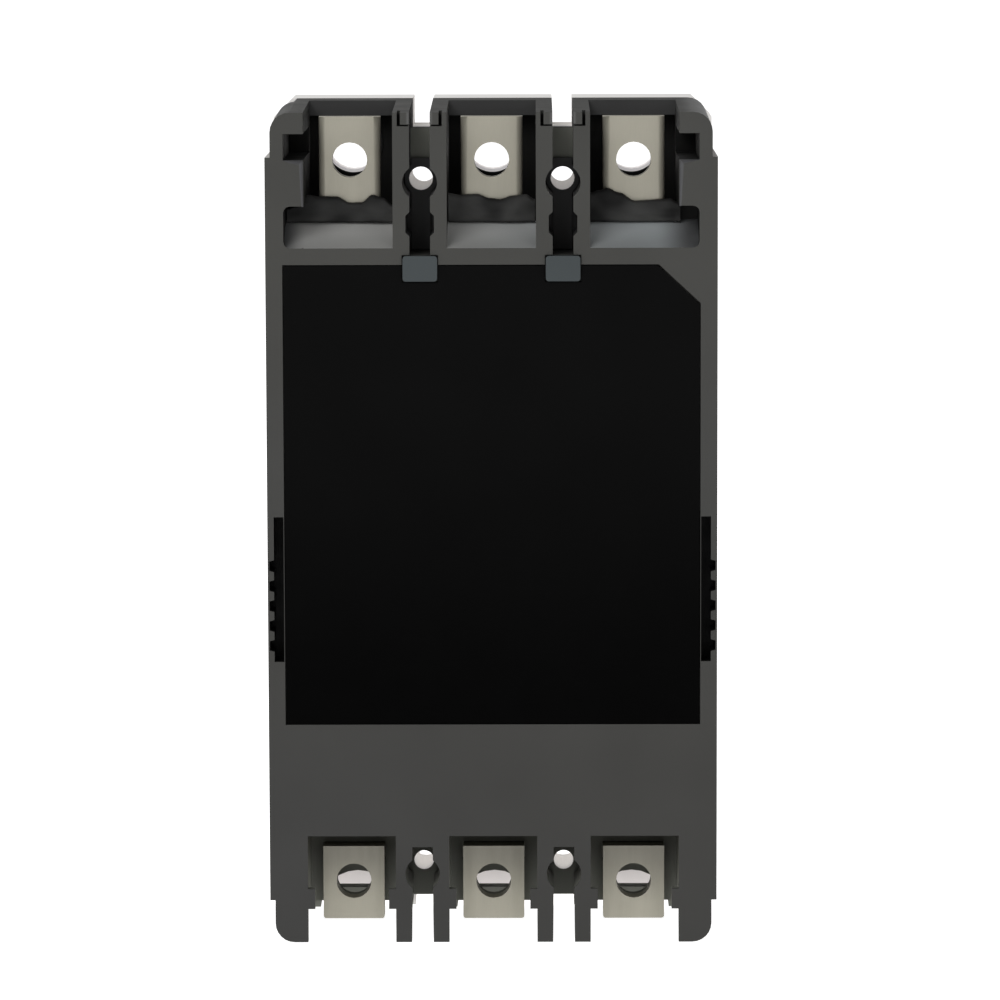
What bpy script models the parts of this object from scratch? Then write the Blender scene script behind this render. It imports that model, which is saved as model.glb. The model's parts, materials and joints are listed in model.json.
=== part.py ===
"""Three-pole molded case circuit breaker, as separate named pieces.

Frame: the rear mounting plane is y = 0, the front faces -Y, +Z points to the line side and the
origin is the centre of the mounting plane. Sizes below are in millimetres; every mesh is scaled
to metres when it is made. DEPTH means the distance in front of the mounting plane, so y = -depth.
"""

import math

import bmesh
import bpy
from mathutils import Matrix, Vector

MM = 0.001
GAP = 0.3  # between neighbouring pieces
PAST = 1.0  # how far a cutter runs past a face, or a joined piece into its neighbour
HALF_PAST = PAST / 2  # the same where another surface is near

# Body
HALF_WIDTH = 69.5
END_HALF_WIDTH = 67.9
HALF_HEIGHT = 130.0
SHOULDER_TOP = 114.5
SHOULDER_BOTTOM = -116.7
BASE_DEPTH = 60.0
END_DEPTH = 86.0
FRONT_DEPTH = 104.0
RAISED_TOP = 92.0
RAISED_BOTTOM = -96.0
WALL = 7.0
REAR_WALL = 8.0
FRONT_WALL = 3.0
CORNER = 6.0
CORNER_STEPS = 6
ARC_STEPS = 8
BORE_SIDES = 12
FACE_SLOPE = 2.5  # how far the raised front's ends lean in
CORNER_CUT_DEPTH = 46.0
CORNER_CUT = 7.5

# Poles and the barriers between them
POLE_PITCH = 44.0
POLES = (-POLE_PITCH, 0.0, POLE_PITCH)
BARRIERS = (-POLE_PITCH / 2, POLE_PITCH / 2)
BARRIER_HALF = 3.0
POCKET_HALF = 13.7
INNER_TOP = 80.0
INNER_BOTTOM = -92.0
POCKET_DEPTH = 57.0
BEAM_DEPTH = 50.0

# Line end pockets
RAMP_FOOT = 86.6
RAMP_TOP = 94.0
RAMP_DEPTH = 20.0
BAFFLE_FOOT = 93.7
POCKET_OUTER = 57.5
NOTCH_OUTER = 63.9
NOTCH_LOW = 113.6
NOTCH_HIGH = 121.7
BLOCK_LOW = 99.5
TOP_BEAM_LOW = 125.0
TOP_FALL = 1.8
NOTCH_DEPTH = 47.0
WIDE_CORNER = 2.0

# Load end pockets
LOAD_POCKET_TOP = -96.5
LOAD_LEDGE_DEPTH = 24.8
LOAD_LEDGE_THICKNESS = 3.2
LOAD_LEDGE_LOW = -121.6
LOAD_VOID_TOP = -103.0
LOAD_BEAM_HIGH = -122.2
LOAD_BEAM_LOW = -126.3
LUG_WIDTH = 2.2
LUG_HIGH = -113.2
LUG_LOW = -119.5
LUG_DEPTH = 3.0
DRAFT_TOP = -119.8
DRAFT_OUTER = 2.7  # how far the outer pockets' outer walls lean out
DRAFT_CENTRE = 1.0
DRAFT_SLOT = 1.5
ARCH_RADIUS = 12.0
ARCH_FRONT = 80.0

# Barrier channels, mounting holes and end slots
CHANNEL_HALF = 3.2
CHANNEL_DEPTH = 24.0
CHANNEL_LOW = 84.4
MOUNT_HOLE_TOP = 106.7
MOUNT_HOLE_BOTTOM = -108.5
MOUNT_RADIUS_TOP = 3.7
MOUNT_RADIUS_BOTTOM = 3.1
MOUNT_BORE_DEPTH_TOP = 71.0
MOUNT_BORE_DEPTH_BOTTOM = 46.0
MOUNT_FLOOR = 0.8
TUBE_WALL = 1.5
LOWER_BORE_RADIUS = 5.4
LOWER_BOSS_RADIUS = 6.6
SCREW_HEAD_RADIUS = 6.5
KEYHOLE_RADIUS = 5.4
CHANNEL_WIDE = 4.4
CHANNEL_WIDE_HIGH = 96.5
CHANNEL_WIDE_LOW = 91.4
CHANNEL_EASE = 1.2
SLOT_TOP = 121.0
SLOT_TOP_REAR = 122.5
SLOT_TOP_FRONT = 120.8
SLOT_BOTTOM = -119.5
COVER_SLOT_BOTTOM = -114.5
NOTCH_BOTTOM_TOP = -100.0
TAB_LOW = 124.5
TAB_OUTER = 5.9
TAB_GAP = 1.0
TAB_DEPTH = 8.0
SLOT_BOTTOM_HALF = 3.4

# Terminals
TERMINAL_HALF = 9.6
TERMINAL_REAR = 18.5
TERMINAL_THICKNESS = 6.0
LINE_TERMINAL_END = 126.1
LINE_PAD_LOW = 104.6
LINE_BAR_REAR = 19.1
LINE_HOLE_HEIGHT = 112.7
LINE_HOLE_RADIUS = 5.4
ACCESS_HEIGHT = 115.9
ACCESS_RADIUS = 8.3
ACCESS_TUBE_WALL = 1.0
ACCESS_TUBE_REAR = 57.4
ACCESS_WELL_HEIGHT = 115.35
ACCESS_WELL_RADIUS = 10.0
ACCESS_WELL_REAR = 66.0
LOAD_TERMINAL_END = -126.1
LOAD_TERMINAL_TOP = -103.05
LOAD_HOLE_HEIGHT = -114.1
LOAD_HOLE_RADIUS = 5.5
LOAD_CORNER = 0.8  # radius of a load pad's lower corners
ROUND_SIDES = 24

# Rear plate, clips and side vents
PLATE_HALF = 64.0
PLATE_TOP = 81.2
PLATE_BOTTOM = -61.1
PLATE_THICKNESS = 1.8
PLATE_CHAMFER = 13.0
CHAMFER_RATIO = 0.93  # the cut corner's height over its width
CLIP_HALF = 5.3
CLIP_TOP = 84.2
CLIP_BOTTOM = 76.4
CLIP_PROUD = 0.8
CLIP_CORNER = 0.9
LINER_TOP = 113.0
LINER_REAR = 22.2
BAFFLE_REAR = 15.4
BAFFLE_CRESTS = (101.6, 100.9, 101.2)
BAFFLE_STEPS = 16
VENT_INNER = 64.5
VENT_OUTER = 67.55
VENT_NOTCH_OUTER = 69.0
VENT_TOP = 3.5
VENT_BOTTOM = -41.7
VENT_DEPTH = 10.0
VENT_NOTCHES = 5
VENT_NOTCH_HEIGHT = 3.73
VENT_NOTCH_PITCH = 6.22
VENT_NOTCH_FIRST = -9.9
VENT_NOTCH_EASE = 0.4

# Line bar loop, load bar, flexible connector and current sensor
LOOP_ROOT = 41.0
LOOP_TIP = 52.0
LOOP_LOW = 35.0
LOOP_REAR = 28.5
LOOP_FRONT = 33.0
LOOP_CORNER = 1.5
LOOP_TONGUE_HALF = 7.0
FIXED_TIP_LOW = 43.5
FIXED_TIP_HIGH = 51.0
FIXED_TIP_THICKNESS = 1.3
TIP_HALF = 4.0
TIP_CORNER = 1.0
LOAD_BAR_THICKNESS = 5.0
LOAD_BAR_REAR = 31.0
LOAD_BAR_FRONT = 36.0
LOAD_BAR_END = -52.0
CONNECTOR_HALF = 6.5
CONNECTOR_THICKNESS = 2.6
CONNECTOR_ROUTE = (
    (29.2, -52.5), (29.2, -40.0), (25.0, -26.0), (19.0, -14.0), (16.5, 0.0), (18.0, 10.0),
    (23.0, 17.0), (30.0, 19.5),
)
SENSOR_HALF = 15.0
SENSOR_REAR = 22.5
SENSOR_FRONT = 44.5
SENSOR_LOW = -84.0
SENSOR_HIGH = -66.0
SENSOR_CORNER = 3.0
SENSOR_MARGIN = 1.0

# Arc chutes
CHUTE_HALF = 15.0
CHUTE_REAR = 27.0
CHUTE_FRONT = 69.0
CHUTE_LOW = 56.0
CHUTE_HIGH = 76.0
CHUTE_PLATES = 9
CHUTE_SHEET = 1.8
CHUTE_CHEEK = 1.5
THROAT_HALF = 6.0
THROAT_TIP = 1.5
THROAT_HEIGHT = 9.0

# Contact arms, drawn along +Z from the crossbar's axis
ARM_OPEN_ANGLE = 26.0
ARM_HALF = 4.0
ARM_REACH = 50.0
ARM_REAR = 1.4
ARM_FRONT = 5.0
ARM_TAPER = 0.4
ARM_BEND = 2.6
ARM_NOSE = 3.0
ARM_SIDE_PLAY = 0.8
ARM_SLOT_PLAY = 0.5
ARM_TIP_HALF = 3.2
ARM_TIP_LOW = 43.5
ARM_TIP_HIGH = 49.5
ARM_TIP_THICKNESS = 1.6
ARM_TIP_SUNK = 0.4

# Pins
PIN_SIDES = 16
PIN_RADIUS = 2.0
PIN_PLAY = 0.5
LINK_PIN_RADIUS = 1.5
TOGGLE_PIN_RADIUS = 1.6
CRADLE_PIN_RADIUS = 1.9
CRADLE_HOLE_RADIUS = 2.3
LATCH_PIN_RADIUS = 1.2
LATCH_PIN_PLAY = 0.4

# Switching mechanism, as (depth, height) points
BAR_AXIS = (38.0, 0.0)
BAR_RADIUS = 9.5
BAR_HALF_LENGTH = 61.5
BAR_CLEARANCE = 1.0
HUB_RADIUS = 6.0
EAR_INNER = 7.2
EAR_OUTER = 9.2
EAR_HALF = 3.6
LEVER_PIN_INNER = 4.9
HANDLE_AXIS = (63.0, 0.0)
HANDLE_OFF_ANGLE = -20.0
APRON_OUTER = 36.0
APRON_INNER = 34.0
APRON_STEPS = 14
APRON_HALF_ANGLE = 54.0
APRON_HALF_WIDTH = 14.0
LEVER_HALF = 5.2
LEVER_HALF_WIDTH = 8.5
LEVER_NECK = 58.0
LEVER_TIP = 66.0
LEVER_CROWN = 1.0
LEVER_CROWN_HALF = 4.0
LEVER_TIP_HALF = 2.5
YOKE_HALF = 5.0
YOKE_REACH = 31.0
YOKE_SHEET = 2.0
YOKE_OVERLAP = 1.0
YOKE_INNER = 13.3
YOKE_OUTER = 14.8
YOKE_PLAY = 0.2
STROKE_CLEARANCE = 0.4
CRADLE_AXIS = (70.0, 28.0)
LINK_AXIS = (84.0, 8.0)
TOGGLE_POINT = (66.6, -1.8)
LEVER_PIN = (47.2, 10.6)
LATCH_AXIS = (62.0, -36.0)
TRIP_AXIS = (76.0, -40.0)
LINK_HALF = 3.2
UPPER_LINK_INNER = 2.2
UPPER_LINK_OUTER = 4.2
LOWER_LINK_INNER = 4.7
LOWER_LINK_OUTER = 6.7
LINK_SPACER_RADIUS = 1.8
LINK_SPACER_FORWARD = 1.0  # the spacer's place in front of the lower link's middle line
CRADLE_TIP = (74.0, -24.0)
CRADLE_TIP_HALF = 2.6
CRADLE_THICKNESS = 3.0
CRADLE_PIN_HALF = 4.4
LATCH_ELBOW = (65.5, -31.5)
LATCH_TIP = (73.0, -21.5)
LATCH_INNER = 2.2
LATCH_OUTER = 4.6
LATCH_WEB_HALF = 2.8
LATCH_PRONG_HALF = 2.0
SPRING_X = 10.9
SPRING_REACH = 27.0
SPRING_STANDOFF = 3.0
SPRING_TURNS = 6
SPRING_STEPS = 8
SPRING_RADIUS = 1.4
SPRING_WIRE_RADIUS = 0.4
SPRING_WIRE_SIDES = 5
FRAME_INNER = 15.4
FRAME_OUTER = 17.0
FRAME_FOOT = REAR_WALL + GAP
FRAME_FOOT_HEIGHT = 22.0
FRAME_SHOULDER = 50.0
FRAME_HEIGHT = 33.0
FRAME_RIM = 4.0
FRAME_NOSE = 88.0
FRAME_NOSE_HALF = 16.0
FRAME_GATE = 13.0
FRAME_GATE_FRONT = 52.0
FRAME_GATE_NARROW = 8.0

# Trip unit and front fittings
UNIT_HALF = 61.0
UNIT_TOP = -47.0
UNIT_BOTTOM = -91.6
UNIT_REAR = 46.0
UNIT_FRONT = 99.5
UNIT_WALL = 2.5
DIAL_XS = (-12.0, 12.0)
DIAL_HEIGHT = -70.0
DIAL_RADIUS = 5.0
WINDOW_HALF = 25.0
WINDOW_TOP = -60.0
WINDOW_BOTTOM = -80.0
FLAP_HINGE = (106.4, -57.0)
BUTTON_X = 40.0
BUTTON_HEIGHT = -30.0
BUTTON_RADIUS = 3.5
BUTTON_SIDES = 20
BUTTON_PLAY = 0.5
BUTTON_REAR = 94.0
BUTTON_PROUD = 3.5
BUTTON_STEM_RADIUS = 1.8
BUTTON_FLANGE_RADIUS = 5.2
BUTTON_FLANGE_REAR = 97.0
BUTTON_FLANGE_FRONT = 98.6
TRIP_BAR_RADIUS = 2.5
TRIP_BAR_HALF_LENGTH = 50.0
TRIP_TAB_HALF = 4.0
TRIP_TAB_REAR = 1.0
TRIP_TAB_FRONT = 1.5
TRIP_TAB_HEIGHT = 14.3
TRIP_TONGUE_REACH = 9.0
TRIP_TONGUE_ABOVE = 0.8
TRIP_TONGUE_BELOW = 1.0
TRIP_WAY_FRONT = 8.0
TRIP_WAY_ABOVE = 7.0
TRIP_WAY_BELOW = 9.0
PLUNGER_X = -34.0
PLUNGER_DEPTH = 69.5
PLUNGER_RADIUS = 1.9
PLUNGER_LOW = -62.0
PLUNGER_HIGH = -46.2
COIL_RADIUS = 8.0
COIL_LOW = -68.0
COIL_FLOOR = -64.0
BOARD_HALF = 52.0
BOARD_REAR = 88.0
BOARD_THICKNESS = 1.6
BOARD_LOW = -86.0
BOARD_HIGH = -53.0
DIAL_FRONT = 103.4
DIAL_SHAFT_RADIUS = 2.4
DIAL_SHAFT_PLAY = 0.6
DIAL_SHAFT_REAR = 86.0
DIAL_SLOT_HALF = 0.7
DIAL_SLOT_HALF_LENGTH = 3.6
DIAL_SLOT_DEPTH = 1.2
HANDLE_SLOT_HALF = 11.0
HANDLE_SLOT_REACH = 24.0
FLAP_HALF = 28.6
FLAP_STANDOFF = 0.6
FLAP_THICKNESS = 1.8
FLAP_OVERLAP = 4.0
FLAP_KNUCKLE_RADIUS = 2.1
FLAP_GRIP_HALF = 8.0
FLAP_GRIP_PROUD = 1.2
FLAP_GRIP_BELOW = 1.2
FLAP_GRIP_SUNK = 0.4  # how far the grip starts inside the flap's rear face
FLAP_GRIP_LAP = 0.5  # how far the grip reaches up over the flap
FLAP_TOP_DROP = 1.0  # from the hinge down to the flap's flat part
FLAP_PIN_RADIUS = 1.0
FLAP_PIN_PLAY = 0.35
FLAP_PIN_INNER = 27.0
EAR_X = (29.0, 32.0)
EAR_RADIUS = 2.5
EAR_STEPS = 6
SCREW_X = 65.8
SCREW_HEIGHTS = (-86.0, 82.0)
SCREW_BORE = 2.2
SCREW_BORE_DEPTH = 30.0
SCREW_COUNTERBORE = 3.5
SCREW_COUNTERBORE_DEPTH = 5.0
SCREW_HEAD = 3.1
SCREW_HEAD_REAR = 4.6
SCREW_HEAD_FRONT = 1.4
SCREW_SHANK = 1.8
SCREW_TIP_DEPTH = 31.0
SCREW_SHANK_LAP = 0.6  # how far the shank reaches into the head
SCREW_SLOT_HALF = 0.5
SCREW_SLOT_DEPTH = 1.2

# Principled BSDF base colour, roughness and metallic value of each material
MATERIALS = {
    "base_plastic": ((0.070, 0.070, 0.067), 0.55, 0.0),
    "cover_plastic": ((0.78, 0.77, 0.76), 0.45, 0.0),
    "black_plate": ((0.008, 0.008, 0.008), 0.45, 0.0),
    "clip_plastic": ((0.075, 0.085, 0.088), 0.45, 0.0),
    "plated_copper": ((0.34, 0.32, 0.26), 0.35, 1.0),
    "silver_contact": ((0.80, 0.79, 0.75), 0.30, 1.0),
    "steel": ((0.52, 0.53, 0.54), 0.35, 1.0),
    "braid_copper": ((0.72, 0.38, 0.22), 0.45, 1.0),
    "mechanism_plastic": ((0.035, 0.035, 0.037), 0.50, 0.0),
    "handle_plastic": ((0.020, 0.020, 0.022), 0.42, 0.0),
    "board_green": ((0.020, 0.14, 0.060), 0.50, 0.0),
    "coil_copper": ((0.55, 0.20, 0.08), 0.40, 1.0),
    "clear_flap": ((0.75, 0.80, 0.82), 0.10, 0.0),
    "button_red": ((0.55, 0.030, 0.025), 0.40, 0.0),
    "dial_plastic": ((0.60, 0.58, 0.50), 0.45, 0.0),
}


def clear_scene():
    for item in list(bpy.data.objects):
        bpy.data.objects.remove(item)


def make_materials():
    made = {}
    for name, (colour, roughness, metallic) in MATERIALS.items():
        material = bpy.data.materials.new(name)
        material.use_nodes = True
        shader = material.node_tree.nodes["Principled BSDF"]
        shader.inputs["Base Color"].default_value = (*colour, 1.0)
        shader.inputs["Roughness"].default_value = roughness
        shader.inputs["Metallic"].default_value = metallic
        made[name] = material
    return made


# Outlines: every function returns a list of 2D points, counter-clockwise


def arc(centre, radius, start, end, steps):
    points = []
    for i in range(steps + 1):
        angle = math.radians(start + (end - start) * i / steps)
        points.append((centre[0] + radius * math.cos(angle), centre[1] + radius * math.sin(angle)))
    return points


def circle(centre, radius, sides=ROUND_SIDES):
    return arc(centre, radius, 0.0, 360.0 * (sides - 1) / sides, sides - 1)


def rectangle(low, high):
    return [(low[0], low[1]), (high[0], low[1]), (high[0], high[1]), (low[0], high[1])]


def rounded_rectangle(low, high, radius, steps=3):
    return (
        arc((high[0] - radius, high[1] - radius), radius, 0, 90, steps)
        + arc((low[0] + radius, high[1] - radius), radius, 90, 180, steps)
        + arc((low[0] + radius, low[1] + radius), radius, 180, 270, steps)
        + arc((high[0] - radius, low[1] + radius), radius, 270, 360, steps)
    )


def strap(start, end, half, steps=6):
    """A link's outline: two round ends joined by straight flanks."""
    along = math.degrees(math.atan2(end[1] - start[1], end[0] - start[0]))
    return arc(end, half, along - 90, along + 90, steps) + arc(start, half, along + 90, along + 270, steps)


def turned(points, pivot, degrees):
    """The points swung about pivot in the depth-height plane, from depth towards height."""
    angle = math.radians(degrees)
    swung = []
    for depth, height in points:
        across = depth - pivot[0]
        up = height - pivot[1]
        swung.append((
            pivot[0] + across * math.cos(angle) - up * math.sin(angle),
            pivot[1] + across * math.sin(angle) + up * math.cos(angle),
        ))
    return swung


# Solids: bmesh prisms and turned shapes in millimetres, as temporary objects


def solid_from(bm):
    bmesh.ops.recalc_face_normals(bm, faces=bm.faces)
    mesh = bpy.data.meshes.new("solid")
    bm.to_mesh(mesh)
    bm.free()
    solid = bpy.data.objects.new("solid", mesh)
    bpy.context.scene.collection.objects.link(solid)
    return solid


def prism(rings, place):
    """One closed prism between the outline's two ends; place turns (point, end) into a vector."""
    bm = bmesh.new()
    low = [bm.verts.new(place(point, 0)) for point in rings]
    high = [bm.verts.new(place(point, 1)) for point in rings]
    bm.faces.new(low)
    bm.faces.new(high)
    for i in range(len(rings)):
        j = (i + 1) % len(rings)
        bm.faces.new((low[i], low[j], high[j], high[i]))
    return solid_from(bm)


def plate_x(outline, x_low, x_high):
    """An outline of (depth, height) points, extruded across the body."""
    return prism(outline, lambda point, end: ((x_low, x_high)[end], -point[0], point[1]))


def plate_y(outline, depth_low, depth_high):
    """An outline of (x, height) points, extruded from the rear towards the front."""
    return prism(outline, lambda point, end: (point[0], -(depth_low, depth_high)[end], point[1]))


def plate_z(outline, z_low, z_high):
    """An outline of (x, depth) points, extruded upwards."""
    return prism(outline, lambda point, end: (point[0], -point[1], (z_low, z_high)[end]))


def box(x_low, x_high, depth_low, depth_high, z_low, z_high):
    return plate_y(rectangle((x_low, z_low), (x_high, z_high)), depth_low, depth_high)


def tube_along(path, radius, sides):
    """A round bar swept along a smooth path of points, with flat ends."""
    bm = bmesh.new()
    rings = []
    side = Vector((1, 0, 0))
    for i, point in enumerate(path):
        ahead = (path[min(i + 1, len(path) - 1)] - path[max(i - 1, 0)]).normalized()
        side = (side - ahead * side.dot(ahead)).normalized()
        other = ahead.cross(side)
        ring = []
        for k in range(sides):
            angle = 2 * math.pi * k / sides
            round_it = side * math.cos(angle) + other * math.sin(angle)
            ring.append(bm.verts.new(point + round_it * radius))
        rings.append(ring)
    for near, far in zip(rings, rings[1:]):
        for k in range(sides):
            bm.faces.new((near[k], near[(k + 1) % sides], far[(k + 1) % sides], far[k]))
    bm.faces.new(rings[0])
    bm.faces.new(rings[-1])
    return solid_from(bm)


def combine(target, tool, operation):
    """Joins or cuts target with tool, and removes tool."""
    step = target.modifiers.new("combine", "BOOLEAN")
    step.operation = operation
    step.solver = "EXACT"
    step.object = tool
    graph = bpy.context.evaluated_depsgraph_get()
    shaped = bpy.data.meshes.new_from_object(target.evaluated_get(graph))
    target.modifiers.clear()
    target.data = shaped
    bpy.data.objects.remove(tool)
    return target


def cut(target, *tools):
    for tool in tools:
        combine(target, tool, "DIFFERENCE")
    return target


def add(target, *tools):
    for tool in tools:
        combine(target, tool, "UNION")
    return target


def finish(name, solid, material, origin=(0.0, 0.0, 0.0)):
    """Names the solid, scales it to metres and puts its origin at a point given in millimetres."""
    bm = bmesh.new()
    bm.from_mesh(solid.data)
    bmesh.ops.remove_doubles(bm, verts=bm.verts, dist=0.002)
    bmesh.ops.dissolve_limit(bm, angle_limit=math.radians(0.2), verts=bm.verts, edges=bm.edges)
    bmesh.ops.triangulate(bm, faces=bm.faces)
    bmesh.ops.transform(bm, matrix=Matrix.Scale(MM, 4) @ Matrix.Translation(-Vector(origin)), verts=bm.verts)
    mesh = bpy.data.meshes.new(name)
    bm.to_mesh(mesh)
    bm.free()
    mesh.shade_smooth()
    mesh.set_sharp_from_angle(angle=math.radians(30))
    mesh.materials.append(material)
    bpy.data.objects.remove(solid)
    piece = bpy.data.objects.new(name, mesh)
    piece.location = Vector(origin) * MM
    bpy.context.scene.collection.objects.link(piece)
    return piece


def pivot_at(axis, x=0.0):
    """The origin of a piece that turns about an axis along X."""
    return (x, -axis[0], axis[1])


# Base housing


def body_outline(half_width):
    """The housing seen from the rear, with its narrower ends and rounded corners."""
    top = HALF_HEIGHT
    radius = CORNER
    right = END_HALF_WIDTH - radius
    outline = arc((right, -top + radius), radius, 270, 360, CORNER_STEPS)
    outline += [(END_HALF_WIDTH, SHOULDER_BOTTOM), (half_width, SHOULDER_BOTTOM)]
    outline += [(half_width, SHOULDER_TOP), (END_HALF_WIDTH, SHOULDER_TOP)]
    outline += arc((right, top - radius), radius, 0, 90, CORNER_STEPS)
    outline += arc((-right, top - radius), radius, 90, 180, CORNER_STEPS)
    outline += [(-END_HALF_WIDTH, SHOULDER_TOP), (-half_width, SHOULDER_TOP)]
    outline += [(-half_width, SHOULDER_BOTTOM), (-END_HALF_WIDTH, SHOULDER_BOTTOM)]
    outline += arc((-right, -top + radius), radius, 180, 270, CORNER_STEPS)
    return outline


def fallen_place(point, end):
    """Places the housing's outline so that its line end falls towards the rear."""
    fall = TOP_FALL if end == 0 and point[1] > SHOULDER_TOP else 0.0
    return (point[0], -(0.0, BASE_DEPTH)[end], point[1] - fall)


def pole_chambers():
    """The three chambers behind the parting plane, one for each pole."""
    side = HALF_WIDTH - WALL
    edges = (-side, BARRIERS[0] - BARRIER_HALF, BARRIERS[0] + BARRIER_HALF)
    edges += (BARRIERS[1] - BARRIER_HALF, BARRIERS[1] + BARRIER_HALF, side)
    for left, right in zip(edges[0::2], edges[1::2]):
        yield box(left, right, REAR_WALL, BASE_DEPTH + PAST, INNER_BOTTOM, INNER_TOP)


def line_pocket(pole):
    """Cutters for one line-end pocket, open to the rear and to the end."""
    outer = math.copysign(1, pole) if pole else 0
    past = HALF_HEIGHT + PAST
    left, right = pole - POCKET_HALF, pole + POCKET_HALF
    ramp = [(-PAST, RAMP_FOOT), (0, RAMP_FOOT), (RAMP_DEPTH, RAMP_TOP)]
    ramp += [(RAMP_DEPTH, BLOCK_LOW), (-PAST, BLOCK_LOW)]
    yield plate_x(ramp, left, right)
    yield box(left, right, -PAST, BEAM_DEPTH, BLOCK_LOW - HALF_PAST, past)
    yield box(left, right, RAMP_DEPTH - PAST, POCKET_DEPTH, RAMP_FOOT, TOP_BEAM_LOW)
    if outer:
        ends = sorted((outer * (POCKET_OUTER - PAST), outer * NOTCH_OUTER))
        wide = rounded_rectangle((ends[0], RAMP_FOOT), (ends[1], BLOCK_LOW), WIDE_CORNER)
        yield cut(plate_y(wide, -PAST, RAMP_DEPTH), ramp_wedge(ends))
        yield box(ends[0], ends[1], -PAST, NOTCH_DEPTH, NOTCH_LOW, NOTCH_HIGH)


def ramp_wedge(ends):
    """The solid below the sloping pocket floor, kept when the wide part of the pocket is cut."""
    slope = (RAMP_TOP - RAMP_FOOT) / RAMP_DEPTH
    under, far = RAMP_FOOT - PAST, RAMP_DEPTH + PAST
    wedge = [(0.0, under), (far, under), (far, RAMP_TOP + slope * PAST), (0.0, RAMP_FOOT)]
    return plate_x(wedge, ends[0] - PAST, ends[1] + PAST)


def load_pocket(pole):
    """Cutters for one load-end pocket: a recess for the pad, a ledge behind it and a void."""
    below = -HALF_HEIGHT - PAST
    left, right = pole - POCKET_HALF, pole + POCKET_HALF
    ledge_front = LOAD_LEDGE_DEPTH + LOAD_LEDGE_THICKNESS
    yield box(left, right, -PAST, LOAD_LEDGE_DEPTH, below, LOAD_POCKET_TOP)
    yield box(left, right, LOAD_LEDGE_DEPTH - PAST, ledge_front + PAST, below, LOAD_LEDGE_LOW)
    yield box(left, right, ledge_front, BEAM_DEPTH, below, LOAD_VOID_TOP)
    yield box(left, right, BEAM_DEPTH - PAST, POCKET_DEPTH, LOAD_BEAM_HIGH, LOAD_VOID_TOP)
    yield box(left, right, BEAM_DEPTH - PAST, POCKET_DEPTH, below, LOAD_BEAM_LOW)
    yield plate_y(arch_outline(pole), POCKET_DEPTH - PAST, BASE_DEPTH + PAST)
    for side in (-1, 1):
        wall = pole + side * POCKET_HALF
        if pole * side > 0:
            yield draft_wedge(wall, wall + side * DRAFT_OUTER, POCKET_DEPTH)
        elif pole == 0:
            yield draft_wedge(wall, wall + side * DRAFT_CENTRE, POCKET_DEPTH)


def draft_wedge(wall, flared, front):
    """Cutter below the lugs: a side wall that leans from x = wall at the lugs to x = flared at the front."""
    inside = wall - math.copysign(PAST, flared - wall)
    outline = [(inside, LUG_DEPTH), (wall, LUG_DEPTH), (flared, front), (inside, front)]
    return plate_z(outline, -HALF_HEIGHT - PAST, DRAFT_TOP)


def arch_outline(pole):
    """The half-round notch at the load end, run a little past the end face."""
    end = -HALF_HEIGHT
    outline = arc((pole, end), ARCH_RADIUS, 0, 180, BORE_SIDES)
    return outline + [(pole - ARCH_RADIUS, end - PAST), (pole + ARCH_RADIUS, end - PAST)]


def channel_outline():
    """The upper barrier channel: a keyhole round the mounting hole and a second widening."""
    side, wide = CHANNEL_HALF, CHANNEL_WIDE
    high, low = CHANNEL_WIDE_HIGH, CHANNEL_WIDE_LOW
    span = math.degrees(math.acos(side / KEYHOLE_RADIUS))
    centre = (0.0, MOUNT_HOLE_TOP)
    half = [(side, HALF_HEIGHT + PAST)] + arc(centre, KEYHOLE_RADIUS, span, -span, ARC_STEPS)
    half += [(side, high + CHANNEL_EASE), (wide, high), (wide, low), (side, low - CHANNEL_EASE)]
    half += [(side, CHANNEL_LOW)]
    return half[::-1] + [(-x, z) for x, z in half]


def lower_channel_outline():
    """The lower barrier recess: a square notch over the mounting hole's keyhole."""
    side = CHANNEL_HALF
    span = math.degrees(math.acos(side / KEYHOLE_RADIUS))
    centre = (0.0, MOUNT_HOLE_BOTTOM)
    half = [(side, NOTCH_BOTTOM_TOP)] + arc(centre, KEYHOLE_RADIUS, span, -span, ARC_STEPS)
    half += [(SLOT_BOTTOM_HALF, -HALF_HEIGHT - PAST)]
    return half[::-1] + [(-x, z) for x, z in half]


def shifted(outline, x):
    return [(point[0] + x, point[1]) for point in outline]


def tab_gap_outline(side):
    """The L-shaped gap that leaves a small tab standing beside the line-end slot."""
    inner, edge, outer = CHANNEL_HALF - PAST, TAB_OUTER, TAB_OUTER + TAB_GAP
    low, past = TAB_LOW - TAB_GAP / 2, HALF_HEIGHT + PAST
    outline = [(inner, low), (outer, low), (outer, past), (edge, past), (edge, TAB_LOW), (inner, TAB_LOW)]
    return [(side * x, z) for x, z in outline]


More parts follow.
